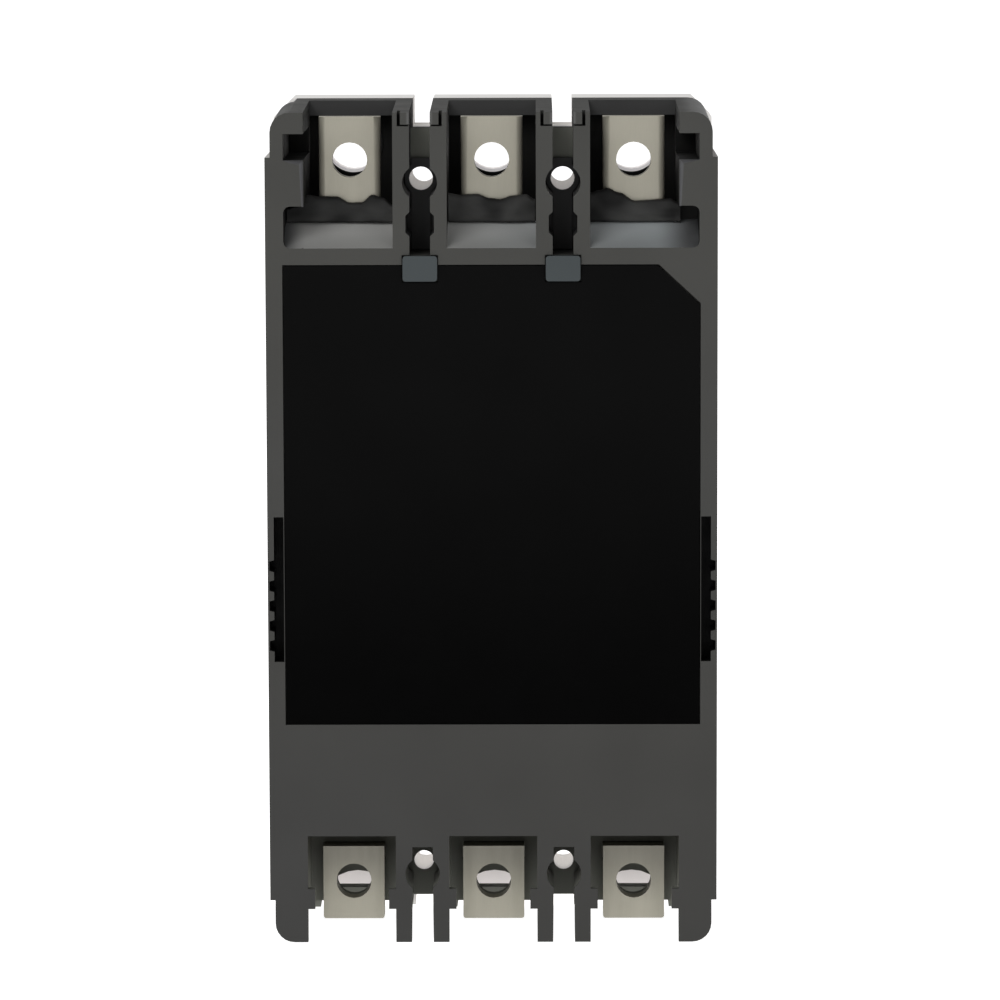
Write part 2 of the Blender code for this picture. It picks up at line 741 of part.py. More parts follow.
def barrier_cutters(x):
    """Cutters for the channels, mounting holes and end slots of one pair of barriers."""
    side = CHANNEL_HALF
    yield plate_y(shifted(channel_outline(), x), -PAST, CHANNEL_DEPTH)
    yield plate_y(shifted(lower_channel_outline(), x), -PAST, CHANNEL_DEPTH)
    near, far = CHANNEL_DEPTH - PAST, BASE_DEPTH + PAST
    slot = [(near, SLOT_TOP_REAR), (CHANNEL_DEPTH, SLOT_TOP_REAR), (far, SLOT_TOP_FRONT)]
    slot += [(far, HALF_HEIGHT + PAST), (near, HALF_HEIGHT + PAST)]
    yield plate_x(slot, x - side, x + side)
    low = -HALF_HEIGHT - PAST
    yield box(x - SLOT_BOTTOM_HALF, x + SLOT_BOTTOM_HALF, near, far, low, SLOT_BOTTOM)
    outward = math.copysign(1, x)
    wall = x + outward * SLOT_BOTTOM_HALF
    yield draft_wedge(wall, wall + outward * DRAFT_SLOT, BASE_DEPTH + PAST)
    for height, radius in ((MOUNT_HOLE_TOP, MOUNT_RADIUS_TOP), (MOUNT_HOLE_BOTTOM, MOUNT_RADIUS_BOTTOM)):
        tube = radius + TUBE_WALL + GAP
        yield plate_y(circle((x, height), tube), CHANNEL_DEPTH + MOUNT_FLOOR, BASE_DEPTH + PAST)
        yield plate_y(circle((x, height), radius), CHANNEL_DEPTH - PAST, CHANNEL_DEPTH + MOUNT_FLOOR + PAST)
    for side_sign in (-1, 1):
        yield plate_y(shifted(tab_gap_outline(side_sign), x), -PAST, TAB_DEPTH)
    boss = circle((x, MOUNT_HOLE_BOTTOM), LOWER_BOSS_RADIUS + GAP)
    yield plate_y(boss, MOUNT_BORE_DEPTH_BOTTOM - TUBE_WALL - GAP, BASE_DEPTH + PAST)


def vent_outline(side):
    """One side vent seen from the rear, with notches along its outer edge."""
    outline = [(VENT_INNER, VENT_BOTTOM), (VENT_OUTER, VENT_BOTTOM)]
    for i in reversed(range(VENT_NOTCHES)):
        high = VENT_NOTCH_FIRST - i * VENT_NOTCH_PITCH
        low = high - VENT_NOTCH_HEIGHT
        outline += [(VENT_OUTER, low), (VENT_NOTCH_OUTER, low + VENT_NOTCH_EASE)]
        outline += [(VENT_NOTCH_OUTER, high - VENT_NOTCH_EASE), (VENT_OUTER, high)]
    outline += [(VENT_OUTER, VENT_TOP), (VENT_INNER, VENT_TOP)]
    return [(side * x, z) for x, z in outline]


def plate_outline(grow=0.0):
    """The back plate, with one upper corner cut off."""
    half = PLATE_HALF + grow
    top = PLATE_TOP + grow
    chamfer = PLATE_CHAMFER - grow * 0.4
    low = PLATE_BOTTOM - grow
    corner = [(-half + chamfer, top), (-half, top - chamfer * CHAMFER_RATIO)]
    return [(-half, low), (half, low), (half, top)] + corner


def make_base(materials):
    base = prism(body_outline(HALF_WIDTH), fallen_place)
    far, past = END_HALF_WIDTH + HALF_PAST, HALF_HEIGHT + PAST
    corner = [(far, past - CORNER_CUT), (far, past), (far - CORNER_CUT, past)]
    cut(base, plate_y(corner, CORNER_CUT_DEPTH, BASE_DEPTH + PAST))
    cut(base, *pole_chambers())
    for pole in POLES:
        cut(base, *line_pocket(pole))
        cut(base, *load_pocket(pole))
        cut_terminal_ways(base, pole)
        for side in (-1, 1):
            inner = pole + side * (POCKET_HALF - LUG_WIDTH)
            outer = pole + side * (POCKET_HALF + HALF_PAST)
            low, high = sorted((inner, outer))
            add(base, box(low, high, 0.0, LUG_DEPTH, LUG_LOW, LUG_HIGH))
    for x in BARRIERS:
        cut(base, *barrier_cutters(x))
        seat = BAR_RADIUS + BAR_CLEARANCE
        bar_way = [(BASE_DEPTH + PAST, -seat), (BASE_DEPTH + PAST, seat)]
        bar_way += arc(BAR_AXIS, seat, 90, 270, ARC_STEPS)
        cut(base, plate_x(bar_way, x - BARRIER_HALF - PAST, x + BARRIER_HALF + PAST))
        reach = BARRIER_HALF + PAST
        unit_way = UNIT_REAR - PAST, BASE_DEPTH + PAST, INNER_BOTTOM, UNIT_TOP + PAST
        cut(base, box(x - reach, x + reach, *unit_way))
        clip_seat = rectangle((x - CLIP_HALF - GAP, CLIP_BOTTOM - GAP), (x + CLIP_HALF + GAP, CLIP_TOP + GAP))
        cut(base, plate_y(clip_seat, -PAST, PLATE_THICKNESS + GAP))
    for side in (-1, 1):
        cut(base, plate_y(vent_outline(side), -PAST, VENT_DEPTH))
        for height in SCREW_HEIGHTS:
            bore = circle((side * SCREW_X, height), SCREW_BORE, BORE_SIDES)
            cut(base, plate_y(bore, SCREW_BORE_DEPTH, BASE_DEPTH + PAST))
    cut(base, plate_y(plate_outline(GAP), -PAST, PLATE_THICKNESS + GAP))
    return finish("base_housing", base, materials["base_plastic"])


def cut_terminal_ways(base, pole):
    """The holes that each pole's conductors and terminal screws pass through."""
    half = TERMINAL_HALF + GAP
    rear, front = TERMINAL_REAR - GAP, TERMINAL_REAR + TERMINAL_THICKNESS + GAP
    cut(base, box(pole - half, pole + half, rear, front, INNER_TOP - PAST, BLOCK_LOW))
    access = circle((pole, ACCESS_HEIGHT), ACCESS_RADIUS + ACCESS_TUBE_WALL + GAP)
    cut(base, plate_y(access, POCKET_DEPTH - PAST, BASE_DEPTH + PAST))
    cut(base, plate_y(circle((pole, LOAD_HOLE_HEIGHT), LOAD_HOLE_RADIUS),
                      LOAD_LEDGE_DEPTH - PAST, LOAD_LEDGE_DEPTH + LOAD_LEDGE_THICKNESS + PAST))
    low, high = LOAD_TERMINAL_TOP - LOAD_BAR_THICKNESS - GAP, LOAD_TERMINAL_TOP + GAP
    bar_front = LOAD_BAR_FRONT + GAP
    cut(base, box(pole - half, pole + half, LOAD_LEDGE_DEPTH - PAST, bar_front, low, high))
    cut(base, box(pole - half, pole + half, LOAD_BAR_REAR - GAP, bar_front, low, INNER_BOTTOM + PAST))


# Front cover


def cover_outline():
    chamfer = CORNER
    half, top = HALF_WIDTH, HALF_HEIGHT
    return [
        (-half, -top + chamfer), (-half + chamfer, -top), (half - chamfer, -top), (half, -top + chamfer),
        (half, top - chamfer), (half - chamfer, top), (-half + chamfer, top), (-half, top - chamfer),
    ]


def make_cover(materials):
    rear = BASE_DEPTH + GAP
    cover = plate_y(cover_outline(), rear, END_DEPTH)
    lean = FACE_SLOPE + HALF_PAST
    raised = [(END_DEPTH - PAST, RAISED_BOTTOM - FACE_SLOPE / 2), (FRONT_DEPTH, RAISED_BOTTOM + lean)]
    raised += [(FRONT_DEPTH, RAISED_TOP - lean), (END_DEPTH - PAST, RAISED_TOP + FACE_SLOPE / 2)]
    add(cover, plate_x(raised, -HALF_WIDTH, HALF_WIDTH))
    side = HALF_WIDTH - WALL
    inner_front = FRONT_DEPTH - FRONT_WALL
    walls = [-side, BARRIERS[0] - BARRIER_HALF, BARRIERS[0] + BARRIER_HALF]
    walls += [BARRIERS[1] - BARRIER_HALF, BARRIERS[1] + BARRIER_HALF, side]
    for left, right in zip(walls[0::2], walls[1::2]):
        cut(cover, box(left, right, rear - PAST, inner_front, UNIT_TOP - 2, INNER_TOP))
    cut(cover, box(-side, side, rear - PAST, inner_front, INNER_BOTTOM, UNIT_TOP + PAST))
    for x in BARRIERS:
        low, high = TRIP_AXIS[1] - TRIP_WAY_BELOW, TRIP_AXIS[1] + TRIP_WAY_ABOVE
        reach = BARRIER_HALF + PAST
        cut(cover, box(x - reach, x + reach, rear - PAST, TRIP_AXIS[0] + TRIP_WAY_FRONT, low, high))
        cover_mounting(cover, x)
    for pole in POLES:
        cover_terminal_ways(cover, pole)
    cut_front_openings(cover, inner_front)
    for side_sign in (-1, 1):
        for height in SCREW_HEIGHTS:
            centre = (side_sign * SCREW_X, height)
            cut(cover, plate_y(circle(centre, SCREW_BORE, BORE_SIDES), rear - PAST, FRONT_DEPTH + PAST))
            head_seat = FRONT_DEPTH - SCREW_COUNTERBORE_DEPTH
            cut(cover, plate_y(circle(centre, SCREW_COUNTERBORE, PIN_SIDES), head_seat, FRONT_DEPTH + PAST))
    add(cover, *flap_brackets())
    return finish("front_cover", cover, materials["cover_plastic"])


def cover_terminal_ways(cover, pole):
    """One pole's driver holes: a tube and a well at the line end, a well and an arch at the load end."""
    rear = BASE_DEPTH + GAP
    line, load = (pole, ACCESS_HEIGHT), (pole, LOAD_HOLE_HEIGHT)
    add(cover, plate_y(circle(line, ACCESS_RADIUS + ACCESS_TUBE_WALL), ACCESS_TUBE_REAR, rear + PAST))
    cut(cover, plate_y(circle(line, ACCESS_RADIUS), ACCESS_TUBE_REAR - PAST, ACCESS_WELL_REAR + PAST))
    well = circle((pole, ACCESS_WELL_HEIGHT), ACCESS_WELL_RADIUS)
    cut(cover, plate_y(well, ACCESS_WELL_REAR, END_DEPTH + PAST))
    cut(cover, plate_y(circle(load, ACCESS_RADIUS), rear - PAST, END_DEPTH + PAST))
    cut(cover, plate_y(arch_outline(pole), rear - PAST, ARCH_FRONT))


def cover_mounting(cover, x):
    """Mounting tubes that reach back into the base, their head bores, and the end slots."""
    rear = BASE_DEPTH + GAP
    tube_rear = CHANNEL_DEPTH + MOUNT_FLOOR + GAP
    lower = (x, MOUNT_HOLE_BOTTOM)
    bore_start = MOUNT_BORE_DEPTH_BOTTOM
    add(cover, plate_y(circle(lower, LOWER_BOSS_RADIUS), bore_start - TUBE_WALL, rear + PAST))
    for height, radius in ((MOUNT_HOLE_TOP, MOUNT_RADIUS_TOP), (MOUNT_HOLE_BOTTOM, MOUNT_RADIUS_BOTTOM)):
        add(cover, plate_y(circle((x, height), radius + TUBE_WALL), tube_rear, rear + PAST))
        cut(cover, plate_y(circle((x, height), radius), tube_rear - PAST, END_DEPTH + PAST))
    upper_head = circle((x, MOUNT_HOLE_TOP), SCREW_HEAD_RADIUS)
    cut(cover, plate_y(upper_head, MOUNT_BORE_DEPTH_TOP, END_DEPTH + PAST))
    cut(cover, plate_y(circle(lower, LOWER_BORE_RADIUS), bore_start, END_DEPTH + PAST))
    cut(cover, plate_y(circle(lower, SCREW_HEAD_RADIUS), rear + TUBE_WALL, END_DEPTH + PAST))
    side, end = CHANNEL_HALF, HALF_HEIGHT + PAST
    cut(cover, box(x - side, x + side, rear - PAST, END_DEPTH + PAST, SLOT_TOP, end))
    lower_half = SLOT_BOTTOM_HALF
    cut(cover, box(x - lower_half, x + lower_half, rear - PAST, END_DEPTH + PAST, -end, COVER_SLOT_BOTTOM))


def cut_front_openings(cover, inner_front):
    """The handle slot, the trip unit window and the trip button's hole."""
    past = FRONT_DEPTH + PAST
    half, reach = HANDLE_SLOT_HALF, HANDLE_SLOT_REACH
    cut(cover, box(-half, half, inner_front - PAST, past, -reach, reach))
    cut(cover, box(-WINDOW_HALF, WINDOW_HALF, inner_front - PAST, past, WINDOW_BOTTOM, WINDOW_TOP))
    button_way = circle((BUTTON_X, BUTTON_HEIGHT), BUTTON_RADIUS + BUTTON_PLAY, PIN_SIDES)
    cut(cover, plate_y(button_way, inner_front - PAST, past))


def flap_brackets():
    """Two ears on the front that carry the flap's hinge pins."""
    for side in (-1, 1):
        low, high = sorted(side * x for x in EAR_X)
        foot, centre = FRONT_DEPTH - PAST, FLAP_HINGE[1]
        ear = [(foot, centre - EAR_RADIUS)] + arc(FLAP_HINGE, EAR_RADIUS, -90, 90, EAR_STEPS)
        ear += [(foot, centre + EAR_RADIUS)]
        pin_low, pin_high = sorted((side * FLAP_PIN_INNER, side * (EAR_X[0] + PAST)))
        yield plate_x(ear, low, high)
        yield plate_x(circle(FLAP_HINGE, FLAP_PIN_RADIUS, BORE_SIDES), pin_low, pin_high)


# Rear plate, clips, liners and baffles


def make_rear_fittings(materials):
    plate = plate_y(plate_outline(), 0.0, PLATE_THICKNESS)
    for x in BARRIERS:
        reach = CLIP_HALF + GAP
        low, high = CLIP_BOTTOM - GAP, CLIP_TOP + PAST
        cut(plate, box(x - reach, x + reach, -PAST, PLATE_THICKNESS + PAST, low, high))
    finish("back_plate", plate, materials["black_plate"])
    for index, x in enumerate(BARRIERS, start=1):
        low, high = (x - CLIP_HALF, CLIP_BOTTOM), (x + CLIP_HALF, CLIP_TOP)
        clip = plate_y(rounded_rectangle(low, high, CLIP_CORNER), -CLIP_PROUD, PLATE_THICKNESS)
        finish(f"plate_clip_{index}", clip, materials["clip_plastic"])
        liner = plate_y(liner_outline(x), LINER_REAR, CHANNEL_DEPTH - GAP)
        hole = circle((x, MOUNT_HOLE_TOP), MOUNT_RADIUS_TOP)
        cut(liner, plate_y(hole, LINER_REAR - PAST, CHANNEL_DEPTH + PAST))
        finish(f"channel_liner_{index}", liner, materials["black_plate"])


def liner_outline(x):
    """A strip on the channel floor that fills the channel's keyhole below the end slot."""
    inset = GAP
    side = CHANNEL_HALF - inset
    radius = KEYHOLE_RADIUS - inset
    span = math.degrees(math.acos(side / radius))
    half = [(side, LINER_TOP)] + arc((0.0, MOUNT_HOLE_TOP), radius, span, -span, ARC_STEPS)
    half += [(side, CHANNEL_LOW + inset)]
    return shifted(half[::-1] + [(-px, pz) for px, pz in half], x)


def baffle_outline(index, left, right):
    """A torn-edged insulating screen: a straight foot and a wavy upper edge."""
    crest = BAFFLE_CRESTS[index]
    outline = [(left, BAFFLE_FOOT), (right, BAFFLE_FOOT)]
    for i in range(BAFFLE_STEPS + 1):
        t = i / BAFFLE_STEPS
        wave = 1.6 * math.sin(2 * math.pi * (1.25 * t + 0.15 + 0.28 * index))
        wave += 0.9 * math.sin(2 * math.pi * (2.6 * t + 0.4 * index))
        outline.append((right + (left - right) * t, crest + wave))
    return outline


def make_baffles(materials):
    for index, pole in enumerate(POLES):
        outline = baffle_outline(index, pole - POCKET_HALF + GAP, pole + POCKET_HALF - GAP)
        baffle = plate_y(outline, BAFFLE_REAR, TERMINAL_REAR - GAP)
        finish(f"arc_baffle_{index + 1}", baffle, materials["black_plate"])


# Current path


def make_line_terminal(index, pole, materials):
    """A plated bar that ends in a turned-back loop, so the contact faces the front."""
    rear, front = TERMINAL_REAR, TERMINAL_REAR + TERMINAL_THICKNESS
    inner, outer, low = LOOP_REAR, LOOP_FRONT, LOOP_LOW
    profile = [(rear, LINE_TERMINAL_END), (front, LINE_TERMINAL_END), (front, LOOP_ROOT), (inner, LOOP_ROOT)]
    profile += [(inner, LOOP_TIP), (outer, LOOP_TIP), (outer, low + LOOP_CORNER), (outer - LOOP_CORNER, low)]
    profile += [(LINE_BAR_REAR + LOOP_CORNER, low), (LINE_BAR_REAR, low + LOOP_CORNER)]
    profile += [(LINE_BAR_REAR, INNER_TOP), (rear, LINE_PAD_LOW)]
    bar = plate_x(profile[::-1], pole - TERMINAL_HALF, pole + TERMINAL_HALF)
    cut(bar, plate_y(circle((pole, LINE_HOLE_HEIGHT), LINE_HOLE_RADIUS), rear - PAST, front + PAST))
    for side in (-1, 1):
        low_x, high_x = sorted((pole + side * LOOP_TONGUE_HALF, pole + side * (TERMINAL_HALF + PAST)))
        cut(bar, box(low_x, high_x, inner - PAST, outer + PAST, LOOP_ROOT + PAST, LOOP_TIP + PAST))
    finish(f"line_terminal_{index}", bar, materials["plated_copper"])
    low_corner, high_corner = (pole - TIP_HALF, FIXED_TIP_LOW), (pole + TIP_HALF, FIXED_TIP_HIGH)
    tip_outline = rounded_rectangle(low_corner, high_corner, TIP_CORNER)
    tip = plate_y(tip_outline, outer + GAP, outer + GAP + FIXED_TIP_THICKNESS)
    finish(f"fixed_contact_{index}", tip, materials["silver_contact"])


def load_corner(pole, side):
    """The outline that rounds one lower corner of a load terminal's pad when it is cut away."""
    edge, low = pole + side * TERMINAL_HALF, LOAD_TERMINAL_END
    centre = (edge - side * LOAD_CORNER, low + LOAD_CORNER)
    start, end = (0, -90) if side > 0 else (180, 270)
    outside = [(centre[0], low - PAST), (edge + side * PAST, low - PAST), (edge + side * PAST, centre[1])]
    return outside + arc(centre, LOAD_CORNER, start, end, CORNER_STEPS)


def make_load_terminal(index, pole, materials):
    """A flat pad with a bar that runs forward and then up to the flexible connector."""
    rear, front = TERMINAL_REAR, TERMINAL_REAR + TERMINAL_THICKNESS
    top = LOAD_TERMINAL_TOP
    step = top - LOAD_BAR_THICKNESS
    profile = [(rear, LOAD_TERMINAL_END), (front, LOAD_TERMINAL_END), (front, step), (LOAD_BAR_FRONT, step)]
    profile += [(LOAD_BAR_FRONT, LOAD_BAR_END), (LOAD_BAR_REAR, LOAD_BAR_END)]
    profile += [(LOAD_BAR_REAR, top), (rear, top)]
    bar = plate_x(profile, pole - TERMINAL_HALF, pole + TERMINAL_HALF)
    cut(bar, plate_y(circle((pole, LOAD_HOLE_HEIGHT), LOAD_HOLE_RADIUS), rear - PAST, front + PAST))
    for side in (-1, 1):
        cut(bar, plate_y(load_corner(pole, side), rear - PAST, front + PAST))
    finish(f"load_terminal_{index}", bar, materials["plated_copper"])


def make_connector(index, pole, materials):
    """The flexible connector, drawn as one smooth strip from the load bar round the crossbar."""
    left, right = [], []
    for i, point in enumerate(CONNECTOR_ROUTE):
        before = Vector(CONNECTOR_ROUTE[max(i - 1, 0)])
        after = Vector(CONNECTOR_ROUTE[min(i + 1, len(CONNECTOR_ROUTE) - 1)])
        along = (after - before).normalized()
        side = Vector((-along.y, along.x)) * CONNECTOR_THICKNESS / 2
        left.append(tuple(Vector(point) + side))
        right.append(tuple(Vector(point) - side))
    strip = plate_x(left + right[::-1], pole - CONNECTOR_HALF, pole + CONNECTOR_HALF)
    finish(f"flexible_connector_{index}", strip, materials["braid_copper"])


def make_contact_arm(index, pole, materials):
    """The moving arm with its contact tip, drawn closed and swung open about the crossbar."""
    axis = BAR_AXIS
    rear, front, bend = axis[0] - ARM_REAR, axis[0] + ARM_FRONT, axis[0] + ARM_BEND
    shank = [(rear, 0.0), (front, 0.0), (front - ARM_TAPER, ARM_REACH - ARM_NOSE)]
    shank += [(bend, ARM_REACH), (rear, ARM_REACH)]
    tip = rectangle((rear - ARM_TIP_THICKNESS, ARM_TIP_LOW), (rear + ARM_TIP_SUNK, ARM_TIP_HIGH))
    low, high = pole - ARM_HALF, pole + ARM_HALF
    swing = -ARM_OPEN_ANGLE
    arm = plate_x(turned(shank, axis, swing), low, high)
    add(arm, plate_x(circle(axis, HUB_RADIUS), low, high))
    add(arm, plate_x(turned(tip, axis, swing), pole - ARM_TIP_HALF, pole + ARM_TIP_HALF))
    cut(arm, plate_x(circle(axis, PIN_RADIUS + PIN_PLAY, PIN_SIDES), low - PAST, high + PAST))
    finish(f"contact_arm_{index}", arm, materials["silver_contact"], pivot_at(axis, pole))


def make_arc_chute(index, pole, materials):
    """Steel splitter plates stacked from rear to front between two insulating cheeks."""
    low, high = CHUTE_LOW, CHUTE_HIGH
    chute = box(pole - CHUTE_HALF, pole + CHUTE_HALF, CHUTE_REAR, CHUTE_FRONT, low, high)
    inner = CHUTE_HALF - CHUTE_CHEEK
    gaps = CHUTE_PLATES - 1
    pitch = (CHUTE_FRONT - CHUTE_REAR - CHUTE_SHEET) / gaps
    for i in range(gaps):
        start = CHUTE_REAR + CHUTE_SHEET + i * pitch
        end = start + pitch - CHUTE_SHEET
        cut(chute, box(pole - inner, pole + inner, start, end, low - PAST, high + PAST))
    throat = [(pole - THROAT_HALF, low - PAST), (pole + THROAT_HALF, low - PAST)]
    throat += [(pole + THROAT_TIP, low + THROAT_HEIGHT), (pole - THROAT_TIP, low + THROAT_HEIGHT)]
    cut(chute, plate_y(throat, CHUTE_REAR - PAST, CHUTE_FRONT + PAST))
    finish(f"arc_chute_{index}", chute, materials["steel"])


def make_current_transformer(index, pole, materials):
    """A moulded ring round the load bar, with the winding inside it."""
    low, high = (pole - SENSOR_HALF, SENSOR_REAR), (pole + SENSOR_HALF, SENSOR_FRONT)
    ring = plate_z(rounded_rectangle(low, high, SENSOR_CORNER), SENSOR_LOW, SENSOR_HIGH)
    reach = TERMINAL_HALF + SENSOR_MARGIN
    near, far = LOAD_BAR_REAR - SENSOR_MARGIN, LOAD_BAR_FRONT + SENSOR_MARGIN
    window = rectangle((pole - reach, near), (pole + reach, far))
    cut(ring, plate_z(window, SENSOR_LOW - PAST, SENSOR_HIGH + PAST))
    finish(f"current_transformer_{index}", ring, materials["mechanism_plastic"])


def make_current_paths(materials):
    for index, pole in enumerate(POLES, start=1):
        make_line_terminal(index, pole, materials)
        make_load_terminal(index, pole, materials)
        make_connector(index, pole, materials)
        make_contact_arm(index, pole, materials)
        make_arc_chute(index, pole, materials)
        make_current_transformer(index, pole, materials)


# Switching mechanism


def both_sides(inner, outer):
    """The two x ranges from inner to outer, one on each side of the middle plane."""
    return (-outer, -inner), (inner, outer)


def make_crossbar(materials):
    """The insulating bar that carries the arms, with its pins and the centre pole's lever ears."""
    bar = plate_x(circle(BAR_AXIS, BAR_RADIUS), -BAR_HALF_LENGTH, BAR_HALF_LENGTH)
    slot_half = ARM_HALF + ARM_SIDE_PLAY
    for pole in POLES:
        low, high = pole - slot_half, pole + slot_half
        rear, front = BAR_AXIS[0] - 2 * BAR_RADIUS, BAR_AXIS[0] + 2 * BAR_RADIUS
        cut(bar, box(low, high, rear, front, -HUB_RADIUS - ARM_SLOT_PLAY, 2 * BAR_RADIUS))
        add(bar, plate_x(circle(BAR_AXIS, PIN_RADIUS, PIN_SIDES), low - PAST, high + PAST))
    for low, high in both_sides(EAR_INNER, EAR_OUTER):
        add(bar, plate_x(strap(BAR_AXIS, LEVER_PIN, EAR_HALF), low, high))
    for low, high in both_sides(LEVER_PIN_INNER, EAR_INNER + PAST):
        add(bar, plate_x(circle(LEVER_PIN, LINK_PIN_RADIUS, PIN_SIDES), low, high))
    finish("crossbar", bar, materials["mechanism_plastic"], pivot_at(BAR_AXIS))


def side_frame_outline():
    """A side plate as (depth, height): two feet astride the crossbar and a nose at the front."""
    upper = [(FRAME_FOOT, FRAME_GATE), (FRAME_FOOT, FRAME_FOOT_HEIGHT), (FRAME_SHOULDER, FRAME_HEIGHT)]
    upper_front = [(CRADLE_AXIS[0] + FRAME_RIM, FRAME_HEIGHT), (FRAME_NOSE, FRAME_NOSE_HALF)]
    lower = [(FRAME_NOSE, -FRAME_NOSE_HALF), (CRADLE_AXIS[0], -FRAME_HEIGHT), (FRAME_SHOULDER, -FRAME_HEIGHT)]
    lower += [(FRAME_FOOT, -FRAME_FOOT_HEIGHT), (FRAME_FOOT, -FRAME_GATE), (BAR_AXIS[0], -FRAME_GATE)]
    gate = [(FRAME_GATE_FRONT, -FRAME_GATE_NARROW), (FRAME_GATE_FRONT, FRAME_GATE_NARROW)]
    return upper + upper_front + lower + gate + [(BAR_AXIS[0], FRAME_GATE)]


def make_side_frame(index, side, materials):
    """One side plate, with a stud for the handle yoke and a hole for the cradle pin."""
    low, high = both_sides(FRAME_INNER, FRAME_OUTER)[side]
    frame = plate_x(side_frame_outline()[::-1], low, high)
    stud_low, stud_high = both_sides(YOKE_INNER - YOKE_PLAY, FRAME_INNER + PIN_PLAY)[side]
    add(frame, plate_x(circle(HANDLE_AXIS, PIN_RADIUS, PIN_SIDES), stud_low, stud_high))
    cut(frame, plate_x(circle(CRADLE_AXIS, CRADLE_HOLE_RADIUS, PIN_SIDES), low - PAST, high + PAST))
    finish(f"side_frame_{index}", frame, materials["steel"])


def make_yoke(materials):
    """The steel yoke: two legs hung on the studs and a bridge that the handle sits on."""
    axis = HANDLE_AXIS
    bridge_front, bridge_rear = axis[0] + YOKE_REACH, axis[0] + YOKE_REACH - YOKE_SHEET
    leg = [(bridge_rear + YOKE_OVERLAP, -YOKE_HALF), (bridge_rear + YOKE_OVERLAP, YOKE_HALF)]
    leg += arc(axis, YOKE_HALF, 90, 270, ARC_STEPS)
    bridge = rectangle((bridge_rear, -YOKE_HALF), (bridge_front, YOKE_HALF))
    yoke = plate_x(turned(bridge, axis, HANDLE_OFF_ANGLE), -YOKE_OUTER, YOKE_OUTER)
    for low, high in both_sides(YOKE_INNER, YOKE_OUTER):
        solid = plate_x(turned(leg[::-1], axis, HANDLE_OFF_ANGLE), low, high)
        cut(solid, plate_x(circle(axis, PIN_RADIUS + PIN_PLAY, PIN_SIDES), low - PAST, high + PAST))
        add(yoke, solid)
    finish("handle_yoke", yoke, materials["steel"], pivot_at(axis))


def make_handle(materials):
    """The toggle handle: a tapered lever on a curved apron that keeps the slot covered."""
    axis, reach = HANDLE_AXIS, APRON_HALF_ANGLE
    apron = arc(axis, APRON_OUTER, -reach, reach, APRON_STEPS)
    apron += arc(axis, APRON_INNER, reach, -reach, APRON_STEPS)
    handle = plate_x(turned(apron, axis, HANDLE_OFF_ANGLE), -APRON_HALF_WIDTH, APRON_HALF_WIDTH)
    root, neck = axis[0] + YOKE_REACH + PIN_PLAY, axis[0] + LEVER_NECK
    crown, tip = axis[0] + LEVER_TIP - LEVER_CROWN, axis[0] + LEVER_TIP
    lever = [(root, -LEVER_HALF), (neck, -LEVER_HALF), (crown, -LEVER_CROWN_HALF), (tip, -LEVER_TIP_HALF)]
    lever += [(tip, LEVER_TIP_HALF), (crown, LEVER_CROWN_HALF), (neck, LEVER_HALF), (root, LEVER_HALF)]
    add(handle, plate_x(turned(lever, axis, HANDLE_OFF_ANGLE), -LEVER_HALF_WIDTH, LEVER_HALF_WIDTH))
    finish("toggle_handle", handle, materials["handle_plastic"], pivot_at(axis))


def make_cradle(materials):
    """The cradle turns on a pin through both side plates and carries the upper link's pin."""
    half = CRADLE_THICKNESS / 2
    cradle = plate_x(strap(CRADLE_AXIS, LINK_AXIS, LINK_HALF), -half, half)
    add(cradle, plate_x(strap(LINK_AXIS, CRADLE_TIP, CRADLE_TIP_HALF), -half, half))
    add(cradle, plate_x(circle(LINK_AXIS, LINK_PIN_RADIUS, PIN_SIDES), -CRADLE_PIN_HALF, CRADLE_PIN_HALF))
    cut(cradle, plate_x(circle(CRADLE_AXIS, CRADLE_HOLE_RADIUS, PIN_SIDES), -half - PAST, half + PAST))
    finish("cradle", cradle, materials["steel"], pivot_at(CRADLE_AXIS))
    reach = FRAME_OUTER + PAST
    pin = plate_x(circle(CRADLE_AXIS, CRADLE_PIN_RADIUS, PIN_SIDES), -reach, reach)
    finish("cradle_pin", pin, materials["steel"])


def link_cheeks(start, inner, outer):
    """Two straps from a pin to the toggle point, each with a hole at its start."""
    for low, high in both_sides(inner, outer):
        cheek = plate_x(strap(start, TOGGLE_POINT, LINK_HALF), low, high)
        cut(cheek, plate_x(circle(start, LINK_PIN_RADIUS + PIN_PLAY, PIN_SIDES), low - PAST, high + PAST))
        yield cheek


def make_links(materials):
    """Upper and lower links of the toggle: each lies in its own plane, so neither meets the other."""
    upper = plate_x(circle(TOGGLE_POINT, TOGGLE_PIN_RADIUS, PIN_SIDES), -UPPER_LINK_OUTER, UPPER_LINK_OUTER)
    add(upper, *link_cheeks(LINK_AXIS, UPPER_LINK_INNER, UPPER_LINK_OUTER))
    finish("upper_link", upper, materials["steel"], pivot_at(LINK_AXIS))
    depth = (LEVER_PIN[0] + TOGGLE_POINT[0]) / 2 + LINK_SPACER_FORWARD
    middle = (depth, (LEVER_PIN[1] + TOGGLE_POINT[1]) / 2)
    lower = plate_x(circle(middle, LINK_SPACER_RADIUS, BORE_SIDES), -LOWER_LINK_OUTER, LOWER_LINK_OUTER)
    add(lower, *link_cheeks(LEVER_PIN, LOWER_LINK_INNER, LOWER_LINK_OUTER))
    finish("lower_link", lower, materials["steel"], pivot_at(LEVER_PIN))


